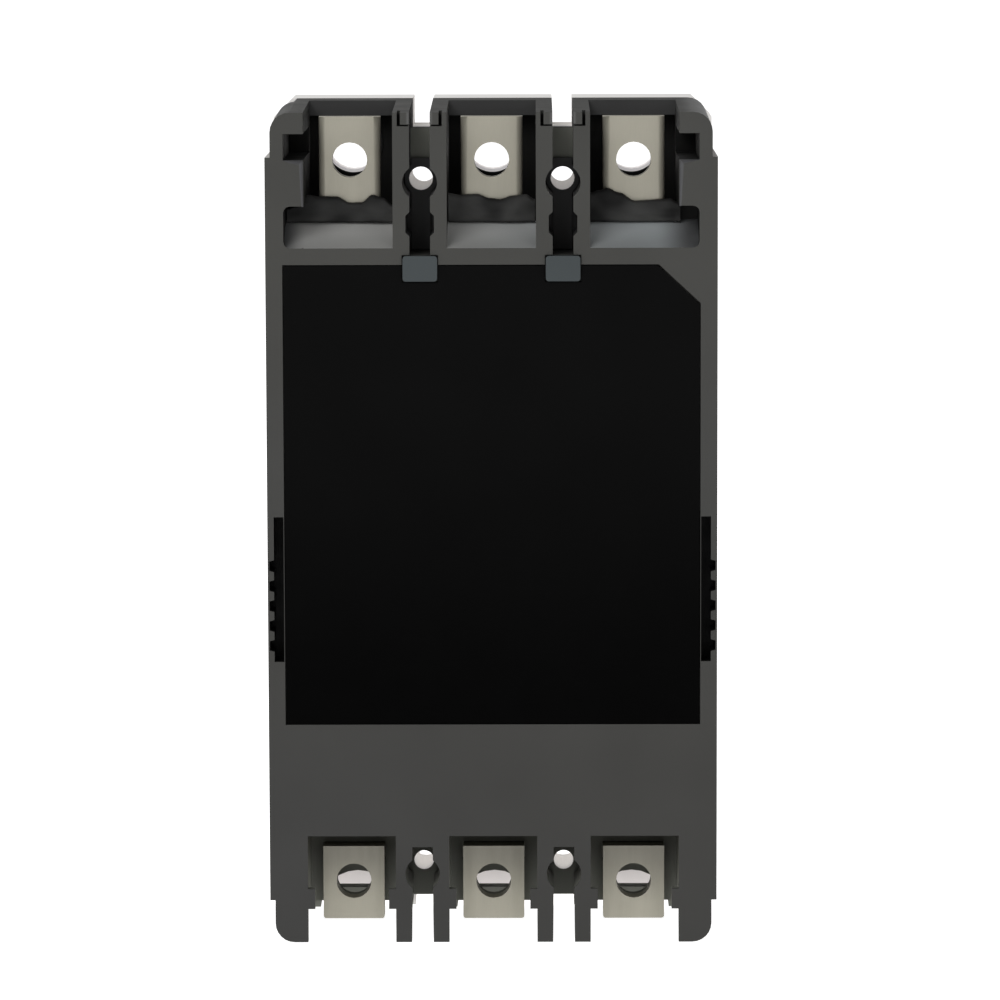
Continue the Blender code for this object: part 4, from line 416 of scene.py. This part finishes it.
def lumpy_screen(name):
    """Soft dark insulating screen: slow light and dark patches."""
    g = Graph(name)
    patch = g.span(g.noise(0.07, 1.0), 0.35, 0.65)
    return grained(g, g.mix(patch, srgb(31), srgb(66, 66, 65)), 0.7, 2.2, 0.03, 0.05, 0.15)


def woven(name, colour):
    """Braided copper: two families of crossing strands in relief."""
    g = Graph(name)
    across, along = g.axis(0), g.axis(2)
    strands = [g.calc("SINE", g.calc("MULTIPLY", g.calc(way, across, along), STRAND_WAVE))
               for way in ("ADD", "SUBTRACT")]
    weave = g.calc("MAXIMUM", *strands)
    rough = g.span(g.noise(0.4, 4.0), 0.25, 0.75, 0.34, 0.5)
    return g.close(g.scaled(colour, g.span(weave, -0.6, 1.0, 0.45, 1.1)), rough, g.bump(weave, 0.25, 0.8),
                   Metallic=1.0)


def clear_plastic(name):
    """Clear plastic with a faint haze and a slight waviness."""
    g = Graph(name)
    haze = g.span(g.noise(0.4, 4.0), 0.3, 0.7, 0.08, 0.16)
    normal = g.bump(g.noise(0.08, 2.0), 0.05, 0.2)
    return g.close(srgb(236, 240, 242), haze, normal, Transmission_Weight=0.92, IOR=1.49)


LOOKS = {
    "base_plastic": base_plastic("look_base_plastic"),
    "cover_plastic": cover_plastic("look_cover_plastic"),
    "black_plate": plate_plastic("look_black_plate"),
    "clip_plastic": moulded("look_clip_plastic", srgb(55, 61, 63), 0.45, 3.5, 0.015, 0.05, 0.3),
    "plated_copper": terminal_plating("look_plated_copper"),
    "silver_contact": metal("look_silver_contact", srgb(222, 220, 212), 0.3, (1.0, 1.0, 0.2)),
    "steel": metal("look_steel", srgb(186, 188, 190), 0.34, (1.0, 0.2, 1.0)),
    "braid_copper": woven("look_braid_copper", srgb(214, 150, 112)),
    "mechanism_plastic": moulded("look_mechanism_plastic", srgb(52, 52, 54), 0.5),
    "handle_plastic": moulded("look_handle_plastic", srgb(38, 38, 40), 0.42, 2.4, 0.03, 0.06),
    "board_green": moulded("look_board_green", srgb(30, 96, 60), 0.35, 2.0, 0.01, 0.06, 0.5),
    "coil_copper": metal("look_coil_copper", srgb(196, 118, 72), 0.35, (0.1, 0.1, 3.0), 0.05),
    "button_red": moulded("look_button_red", srgb(186, 42, 36), 0.38, 3.0, 0.01, 0.04),
    # painted light: the liners of the barrier channels are painted mid grey, much paler than their black
    # insulation, to offset the shade deep in the channels
    "liner": moulded("look_liner", srgb(74), 0.6, 4.0, 0.012, 0.08, 0.06),
    "dial_plastic": moulded("look_dial_plastic", srgb(206, 202, 188), 0.45, 3.0, 0.01, 0.03),
    "clear_flap": clear_plastic("look_clear_flap"),
    "screen": lumpy_screen("look_torn_screen"),
    "label": metal("look_label", srgb(196, 198, 200), 0.38, (0.2, 1.0, 3.0), 0.004, 0.02, 0.6),
}
# Paler copies of the looks for the rounded edges: painted edge highlights
EDGES = {
    "base_plastic": base_plastic("edge_base_plastic", 1.25),
    "black_plate": moulded("edge_black_plate", srgb(62, 62, 61), 0.45, 4.0, 0.012, 0.08, 0.15),
    "clip_plastic": moulded("edge_clip_plastic", srgb(96, 101, 104), 0.42, 3.5, 0.015, 0.05, 0.35),
    "plated_copper": terminal_plating("edge_plated_copper", 1.3),
    "mechanism_plastic": moulded("edge_mechanism_plastic", srgb(66, 66, 68), 0.48),
    "handle_plastic": moulded("edge_handle_plastic", srgb(52, 52, 54), 0.4, 2.4, 0.03, 0.06),
}

SLOTS = {row["node"]: row["material_slot"] for row in frame["record"]["subparts"]}
BODY_OF = {node: body for body, nodes in frame["record"]["behaviour"]["bodies"].items() for node in nodes}
# Widths of the rounded edges in millimetres
BEVELS = {"base_housing": 0.2, "front_cover": 0.25, "back_plate": 0.35, "plate_clip_1": 0.35,
          "plate_clip_2": 0.35, "toggle_handle": 0.6, "load_terminal_1": 0.35, "load_terminal_2": 0.35,
          "load_terminal_3": 0.35}
PLAIN_BEVEL = 0.18


def paint(obj, slot):
    """Gives a piece its look and, as its second material, the paler look of its rounded edges, a painted
    highlight.
    """
    obj.data.materials.clear()
    obj.data.materials.append(LOOKS[slot])
    obj.data.materials.append(EDGES.get(slot, LOOKS[slot]))


def mesh_from(bm, name):
    """Turns a bmesh into a smooth-shaded mesh and frees it."""
    mesh = bpy.data.meshes.new(name)
    bm.to_mesh(mesh)
    bm.free()
    mesh.shade_smooth()
    return mesh


def soften(obj, width):
    """Merges flat faces, rounds the sharp edges with the paler material, a painted edge highlight, and evens
    the normals.
    """
    flat = obj.modifiers.new("flatten", "DECIMATE")
    flat.decimate_type = "DISSOLVE"
    flat.angle_limit = math.radians(0.5)
    soft = obj.modifiers.new("soften", "BEVEL")
    soft.width = width * MM
    soft.segments = 2
    soft.limit_method = "ANGLE"
    soft.angle_limit = math.radians(40.0)
    soft.material = 1
    even = obj.modifiers.new("even", "WEIGHTED_NORMAL")
    even.mode = "FACE_AREA"
    even.weight = 100
    even.keep_sharp = False


def piece(name, mesh, body, slot=None, look=None, node=None):
    """Adds a new piece that rides on a body, and stands for a CAD node if one is named."""
    obj = bpy.data.objects.new(name, mesh)
    bpy.context.scene.collection.objects.link(obj)
    if slot:
        paint(obj, slot)
    if look:
        obj.data.materials.clear()
        obj.data.materials.append(look)
    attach(obj, body)
    if node:
        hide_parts(node)
    return obj


def reworked(node, test, radius, steps, width):
    """Replaces a CAD node by a copy on which the edges that pass the test are rounded further."""
    bm = bmesh.new()
    bm.from_mesh(frame["nodes"][node].data)
    bmesh.ops.remove_doubles(bm, verts=bm.verts, dist=1e-6)
    bmesh.ops.dissolve_limit(bm, angle_limit=math.radians(0.5), verts=bm.verts, edges=bm.edges)
    chosen = [edge for edge in bm.edges if test(*(vert.co / MM for vert in edge.verts))]
    bmesh.ops.bevel(bm, geom=chosen, offset=radius * MM, segments=steps, profile=0.5,
                    affect="EDGES", clamp_overlap=False)
    name = f"{node}_visual"
    obj = piece(name, mesh_from(bm, name), BODY_OF[node], SLOTS[node], node=node)
    soften(obj, width)


# The housing's outer blocks and the line terminals' rear faces, in millimetres
BLOCK_INNER_REACH, BLOCK_FOOT, BLOCK_TOP = 57.7, 99.0, 113.6
PAD_REAR_DEPTH, PAD_FOOT, SHORT_EDGE = 18.5, 79.0, 5.0


def close_to(value, target, slack=0.06):
    return abs(value - target) < slack


def block_edge(a, b):
    """The inner edges of the housing's outer blocks, at the rear face."""
    rear = close_to(a.y, 0.0) and close_to(b.y, 0.0)
    ends = (a, b)
    upright = all(close_to(abs(p.x), BLOCK_INNER_REACH) and BLOCK_FOOT < p.z < BLOCK_TOP + 0.4 for p in ends)
    level = all(close_to(p.z, BLOCK_TOP) and abs(p.x) > BLOCK_INNER_REACH - 0.7 for p in ends)
    return rear and (upright or level)


def terminal_edge(a, b):
    """The long rear edges of a line terminal's pad."""
    on_rear = all(close_to(p.y, -PAD_REAR_DEPTH, 0.7) and p.z > PAD_FOOT for p in (a, b))
    return on_rear and close_to(a.x, b.x) and abs(a.z - b.z) > SHORT_EDGE


def dress(node, obj):
    """Gives a CAD node its look, and rounds its edges with modifiers."""
    paint(obj, "liner" if node.startswith("channel_liner") else SLOTS[node])
    soften(obj, BEVELS.get(node, PLAIN_BEVEL))


def refine_nodes():
    """Rounds the housing's blocks and the line terminals on copies, and dresses the other nodes in place."""
    copies = {"base_housing": (block_edge, 1.8, 5, BEVELS["base_housing"])}
    for index in (1, 2, 3):
        copies[f"line_terminal_{index}"] = (terminal_edge, 2.2, 6, 0.3)
    for node, obj in frame["nodes"].items():
        if node in copies:
            reworked(node, *copies[node])
        elif not node.startswith(("arc_baffle", "main_spring")):
            dress(node, obj)


# Torn upper edges of the three screens: across the pocket and height, in millimetres
CRESTS = (
    ((-58.4, 99.2), (-55.1, 100.6), (-52.7, 100.4), (-48.5, 100.1), (-44.5, 99.9), (-39.6, 102.4),
     (-35.8, 103.9), (-33.0, 103.2), (-30.6, 102.5)),
    ((-13.4, 100.5), (-10.6, 102.0), (-6.8, 101.6), (-2.4, 100.5), (0.5, 100.8), (4.6, 102.1),
     (9.9, 101.9), (13.4, 102.5)),
    ((30.6, 98.8), (33.6, 101.0), (37.0, 101.9), (40.4, 99.6), (43.8, 99.5), (48.1, 101.4),
     (53.9, 101.5), (57.3, 102.0), (60.0, 99.0), (63.4, 98.0)),
)
SCREEN_FOOT, SCREEN_REAR, SCREEN_FRONT = 93.35, 17.6, 18.1
# How far the screens' rear face swells, and the heights of its lumps, of its grain and of the tear
SWELL, LUMPS, GRAIN, TEAR = 1.6, 1.0, 0.1, 0.12
# Share of a screen's height over which it thins towards its foot and its torn edge
EDGE_SHARE = 0.12


def crest_height(knots, x):
    """The torn edge between its knots, eased from one to the next."""
    for (x0, z0), (x1, z1) in zip(knots, knots[1:]):
        if x <= x1:
            t = min(1.0, max(0.0, (x - x0) / (x1 - x0)))
            return z0 + (z1 - z0) * t * t * (3 - 2 * t)
    return knots[-1][1]


def screen_depth(index, x, z, t):
    """Depth of a screen's rear face: thick in the middle, thin at its foot (t 0) and its torn edge (t 1)."""
    lump = noise.noise(Vector((x * 0.13, z * 0.26, 5.0 * index)))
    fine = noise.noise(Vector((x * 0.5, z * 0.8, 9.0 + index)))
    edge = 1.0 - (1.0 - min(1.0, (1.0 - t) / EDGE_SHARE)) ** 2
    edge *= 1.0 - (1.0 - min(1.0, t / EDGE_SHARE)) ** 3
    return SCREEN_REAR - SWELL * edge - LUMPS * lump * edge - GRAIN * fine


def screen_sheets(bm, index, knots, columns, rows):
    """The vertices of a screen's rear face and of its flat front face."""
    low, high = knots[0][0], knots[-1][0]
    sheets = ([], [])
    for i in range(columns + 1):
        x = low + (high - low) * i / columns
        top = crest_height(knots, x) + TEAR * noise.noise(Vector((x * 1.7, 3.0 * index, 0.0)))
        for sheet in sheets:
            sheet.append([])
        for j in range(rows + 1):
            z = SCREEN_FOOT + (top - SCREEN_FOOT) * j / rows
            for sheet, depth in zip(sheets, (screen_depth(index, x, z, j / rows), SCREEN_FRONT)):
                sheet[i].append(bm.verts.new((x * MM, -depth * MM, z * MM)))
    return sheets


def make_screens():
    """The dark insulating screens behind the line terminals, lumpy and torn along the top."""
    columns, rows = 90, 26
    rim = [(i, 0) for i in range(columns)] + [(columns, j) for j in range(rows)]
    rim += [(i, rows) for i in range(columns, 0, -1)] + [(0, j) for j in range(rows, 0, -1)]
    for index, knots in enumerate(CRESTS):
        bm = bmesh.new()
        rear, front = screen_sheets(bm, index, knots, columns, rows)
        for grid in (rear, front):
            for i in range(columns):
                for j in range(rows):
                    bm.faces.new((grid[i][j], grid[i + 1][j], grid[i + 1][j + 1], grid[i][j + 1]))
        for (i0, j0), (i1, j1) in zip(rim, rim[1:] + rim[:1]):
            bm.faces.new((rear[i0][j0], front[i0][j0], front[i1][j1], rear[i1][j1]))
        bmesh.ops.recalc_face_normals(bm, faces=bm.faces)
        name = f"torn_screen_{index + 1}"
        mesh = mesh_from(bm, name)
        mesh.set_sharp_from_angle(angle=math.radians(60))
        obj = piece(name, mesh, "frame", look=LOOKS["screen"], node=f"arc_baffle_{index + 1}")


def ring_points(half, low, high, radius, steps=5):
    """A rounded rectangle from -half to half across and low to high in height, in millimetres."""
    points = []
    corners = ((half, high, 0), (-half, high, 90), (-half, low, 180), (half, low, 270))
    for x, z, start in corners:
        centre = (x - math.copysign(radius, x), z - radius if z == high else z + radius)
        for i in range(steps + 1):
            angle = math.radians(start + 90.0 * i / steps)
            points.append((centre[0] + radius * math.cos(angle), centre[1] + radius * math.sin(angle)))
    return points


def disc_points(centre, radius, sides=40):
    turns = [2 * math.pi * i / sides for i in range(sides)]
    return [(centre[0] + radius * math.cos(a), centre[1] + radius * math.sin(a)) for a in turns]


def moved(points, x, z):
    return [(px + x, pz + z) for px, pz in points]


def bar_points(start, end, half):
    """A straight bar's outline between two points."""
    along = (Vector(end) - Vector(start)).normalized()
    side = Vector((-along.y, along.x)) * half
    return [tuple(Vector(p) + side * k) for p, k in ((start, 1), (start, -1), (end, -1), (end, 1))]


def add_slab(bm, outline, rear, front, hole=None):
    """A plate from depth rear to depth front; hole is an outline with as many points as the plate's."""
    def ring(points, depth):
        return [bm.verts.new((x * MM, -depth * MM, z * MM)) for x, z in points]

    def wall(first, second):
        for i in range(len(first)):
            j = (i + 1) % len(first)
            bm.faces.new((first[i], first[j], second[j], second[i]))

    back, face = ring(outline, rear), ring(outline, front)
    wall(back, face)
    if hole is None:
        bm.faces.new(back)
        bm.faces.new(face)
    else:
        inner_back, inner_face = ring(hole, rear), ring(hole, front)
        wall(inner_back, inner_face)
        wall(back, inner_back)
        wall(face, inner_face)


def slab_piece(name, slabs, body, slot, width, turn=None, look=None):
    """One piece of plates, each (outline, rear, front) or (outline, rear, front, hole)."""
    bm = bmesh.new()
    for slab in slabs:
        add_slab(bm, *slab)
    bmesh.ops.recalc_face_normals(bm, faces=bm.faces)
    if turn is not None:
        bm.transform(turn)
    obj = piece(name, mesh_from(bm, name), body, slot)
    if look is not None:
        obj.data.materials[0] = look
        obj.data.materials[1] = look
    soften(obj, width)


# Depths of the cover's front face, the trip unit's face and the circuit board's rear face
FRONT, UNIT_FACE, BOARD_REAR = 104.0, 99.5, 88.0
# Places on the front as (across, height), and the handle's axis as (depth, height)
BUTTON_AT, OPEN_MARK_AT = (40.0, -30.0), (0.0, -32.8)
DIALS_AT = ((-12.0, -70.0), (12.0, -70.0))
HANDLE_AXIS, HANDLE_REST = (63.0, 0.0), -20.0
# How far a fitting is sunk into the face it lies on
SUNK = 0.1


def make_bezel():
    """The handle's bezel with a bar for closed and a ring for open."""
    outer, inner = ring_points(19.0, -39.0, 39.0, 4.0), ring_points(12.0, -26.0, 26.0, 2.0)
    bezel_front = FRONT + 1.3
    slab_piece("handle_bezel", [(outer, FRONT - 0.4, bezel_front, inner)], "frame", "mechanism_plastic", 0.5)
    rear, front = bezel_front - SUNK, bezel_front + 0.2
    upright = (ring_points(0.8, 29.6, 36.0, 0.4, 2), rear, front)
    slab_piece("closed_mark", [upright], "frame", "dial_plastic", 0.08)
    round_mark = (disc_points(OPEN_MARK_AT, 3.3), rear, front, disc_points(OPEN_MARK_AT, 2.1))
    slab_piece("open_mark", [round_mark], "frame", "dial_plastic", 0.08)


def make_label():
    """A blank label with two borders and two empty lines."""
    plate = (ring_points(48.0, 47.0, 80.0, 2.0), FRONT - SUNK, FRONT + 0.18)
    slab_piece("blank_label", [plate], "frame", "steel", 0.05, look=LOOKS["label"])
    rear, front = FRONT + 0.1, FRONT + 0.26
    borders = [(ring_points(46.0, 49.0, 78.0, 1.0), ring_points(45.5, 49.5, 77.5, 0.8)),
               (ring_points(43.5, 61.0, 75.5, 0.8), ring_points(43.1, 61.4, 75.1, 0.6))]
    lines = [(outside, rear, front, inside) for outside, inside in borders]
    lines += [(ring_points(43.3, z - 0.2, z + 0.2, 0.1, 1), rear, front) for z in (52.5, 57.0)]
    slab_piece("label_lines", lines, "frame", "mechanism_plastic", 0.03)


def make_button_ring():
    ring = (disc_points(BUTTON_AT, 6.4), FRONT - 0.2, FRONT + 0.9, disc_points(BUTTON_AT, 4.4))
    slab_piece("button_ring", [ring], "frame", "mechanism_plastic", 0.35)


def make_dial_scales():
    """Eleven ticks round each dial, over its 270 degrees; every fifth one is longer."""
    for index, centre in enumerate(DIALS_AT, start=1):
        ticks = []
        for step in range(11):
            angle = math.radians(-135.0 + 27.0 * step)
            away = Vector((math.sin(angle), math.cos(angle)))
            start, end = (Vector(centre) + away * r for r in (5.7, 7.6 if step % 5 else 8.4))
            ticks.append((bar_points(start, end, 0.22), UNIT_FACE - SUNK, UNIT_FACE + 0.2))
        slab_piece(f"dial_scale_{index}", ticks, "frame", "dial_plastic", 0.04)


def make_handle_grip():
    """Fine ribs across both flanks of the toggle handle, near its tip."""
    axis = Vector((0.0, -HANDLE_AXIS[0] * MM, HANDLE_AXIS[1] * MM))
    turn = Matrix.Translation(axis) @ Matrix.Rotation(math.radians(-HANDLE_REST), 4, "X")
    turn = turn @ Matrix.Translation(-axis)
    ribs = []
    for side in (-1, 1):
        low, high = sorted((side * 4.9, side * 5.7))
        for step in range(5):
            depth = HANDLE_AXIS[0] + 46.0 + 2.4 * step
            ribs.append((ring_points(7.6, low, high, 0.3, 2), depth, depth + 1.1))
    slab_piece("handle_grip", ribs, "handle", "handle_plastic", 0.25, turn=turn)


def make_board_parts():
    """Chips and capacitors on the rear side of the circuit board."""
    board = BOARD_REAR + 0.05
    large, small = ring_points(6.0, -5.0, 5.0, 0.5, 2), ring_points(2.4, -1.6, 1.6, 0.3, 2)
    chips = [(moved(large, x, -62.0), BOARD_REAR - 1.6, board) for x in (-26.0, 26.0)]
    chips += [(moved(small, x, -78.0), BOARD_REAR - 1.0, board)
              for x in range(-40, 41, 10) if abs(abs(x) - 12) > 5]
    slab_piece("board_chips", chips, "frame", "mechanism_plastic", 0.2)
    cans = [(disc_points((x, -72.0), 3.2, 24), BOARD_REAR - 7.0, board) for x in (-46.0, -38.0, 38.0, 46.0)]
    slab_piece("board_capacitors", cans, "frame", "steel", 0.5)


# Main springs in metres: how far a coil's centre line ends inside the plain coil's box, and the winding
SPRING_INSET, COIL_RADIUS, WIRE_RADIUS = 0.0018, 0.0014, 0.00028
COIL_TURNS, STEPS_PER_TURN, WIRE_SIDES = 16, 18, 8


def coil_path(start, end, radius):
    """A close winding from start to end, drawn in tight at each end, with its centre line."""
    steps = COIL_TURNS * STEPS_PER_TURN
    across = Vector((1.0, 0.0, 0.0))
    other = (end - start).normalized().cross(across)
    path = []
    for i in range(steps + 1):
        angle = 2 * math.pi * i / STEPS_PER_TURN
        swell = radius * min(1.0, 0.15 + 6.0 * min(i, steps - i) / steps)
        centre = start.lerp(end, i / steps)
        path.append((centre + (across * math.cos(angle) + other * math.sin(angle)) * swell, centre))
    return path


def add_wire(bm, path, radius, sides):
    """A closed round wire along a path of points, each with the place that it winds round."""
    last = len(path) - 1
    turns = [2 * math.pi * k / sides for k in range(sides)]
    rings = []
    for i, (point, centre) in enumerate(path):
        ahead = (path[min(i + 1, last)][0] - path[max(i - 1, 0)][0]).normalized()
        out = (point - centre).normalized()
        third = ahead.cross(out).normalized()
        spokes = [(out * math.cos(a) + third * math.sin(a)) * radius for a in turns]
        rings.append([bm.verts.new(point + spoke) for spoke in spokes])
    for first, second in zip(rings, rings[1:]):
        for k in range(sides):
            bm.faces.new((first[k], first[(k + 1) % sides], second[(k + 1) % sides], second[k]))
    bm.faces.new(rings[0])
    bm.faces.new(rings[-1])
    bmesh.ops.recalc_face_normals(bm, faces=bm.faces)


def make_springs():
    """Close-wound main springs, in place of the plain coils."""
    for index in (1, 2):
        low, high = (Vector(corner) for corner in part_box(f"main_spring_{index}"))
        inset = Vector((0.0, SPRING_INSET, SPRING_INSET))
        middle = (low.x + high.x) / 2
        low.x = high.x = middle
        bm = bmesh.new()
        add_wire(bm, coil_path(high - inset, low + inset, COIL_RADIUS), WIRE_RADIUS, WIRE_SIDES)
        name = f"wound_spring_{index}"
        piece(name, mesh_from(bm, name), "handle", "steel", node=f"main_spring_{index}")


refine_nodes()
make_screens()
make_bezel()
make_label()
make_button_ring()
make_dial_scales()
make_handle_grip()
make_board_parts()
make_springs()


def make_camera():
    """The photograph's camera, fitted to the breaker."""
    tilt, yaw, roll = (math.radians(v) for v in (TILT, YAW, ROLL))
    ahead = Vector((-math.sin(yaw) * math.cos(tilt), -math.cos(yaw) * math.cos(tilt), -math.sin(tilt)))
    level = Vector((-math.cos(yaw), math.sin(yaw), 0.0))
    above = level.cross(ahead)
    right = level * math.cos(roll) + above * math.sin(roll)
    up = above * math.cos(roll) - level * math.sin(roll)
    data = bpy.data.cameras.new("camera")
    data.lens = LENS
    data.sensor_width = 36.0
    data.clip_end = 100.0
    camera = bpy.data.objects.new("camera", data)
    turn = Matrix((right, up, -ahead)).transposed().to_4x4()
    camera.matrix_world = Matrix.Translation(CAMERA_AT) @ turn
    bpy.context.scene.collection.objects.link(camera)
    bpy.context.scene.camera = camera


def area_light(name, place, size, power):
    """A square soft light that faces the breaker."""
    data = bpy.data.lights.new(name, "AREA")
    data.shape = "RECTANGLE"
    data.size = data.size_y = size
    data.energy = power
    light = bpy.data.objects.new(name, data)
    light.location = place
    light.rotation_euler = (-Vector(place)).to_track_quat("-Z", "Y").to_euler()
    bpy.context.scene.collection.objects.link(light)


def make_world():
    """White surroundings that light the breaker less than they show to the camera."""
    world = bpy.data.worlds.new("studio")
    world.use_nodes = True
    nodes, links = world.node_tree.nodes, world.node_tree.links
    back = nodes["Background"]
    back.inputs["Color"].default_value = (*WHITE, 1.0)
    path = nodes.new("ShaderNodeLightPath")
    level = nodes.new("ShaderNodeMapRange")
    links.new(path.outputs["Is Camera Ray"], level.inputs[0])
    level.inputs["To Min"].default_value = 0.30
    level.inputs["To Max"].default_value = 1.02
    links.new(level.outputs[0], back.inputs["Strength"])
    bpy.context.scene.world = world
    bpy.context.scene.view_settings.view_transform = "Standard"


def make_floor():
    """A wide pale floor just below the breaker's load end."""
    bm = bmesh.new()
    bmesh.ops.create_grid(bm, x_segments=2, y_segments=2, size=14.0)
    mesh = bpy.data.meshes.new("floor")
    bm.to_mesh(mesh)
    bm.free()
    floor = bpy.data.objects.new("floor", mesh)
    floor.location = (0.0, 0.0, cad_box[0][2] - 0.0002)
    g = Graph("look_floor")
    tone = g.span(g.noise(0.002, 3.0), 0.3, 0.7, 0.90, 0.93)
    g.close(tone, 0.8, g.bump(g.noise(0.5, 2.0), 0.05, 0.2), Specular_IOR_Level=0.1,
            Emission_Color=WHITE, Emission_Strength=0.95)
    mesh.materials.append(g.material)
    bpy.context.scene.collection.objects.link(floor)


make_camera()
make_world()
area_light("key", (0.9, 1.5, 1.5), 1.2, 15.0)
area_light("fill", (-1.3, 1.6, 0.5), 1.4, 5.0)
area_light("front", (0.8, -1.6, 1.2), 1.4, 8.0)
make_floor()
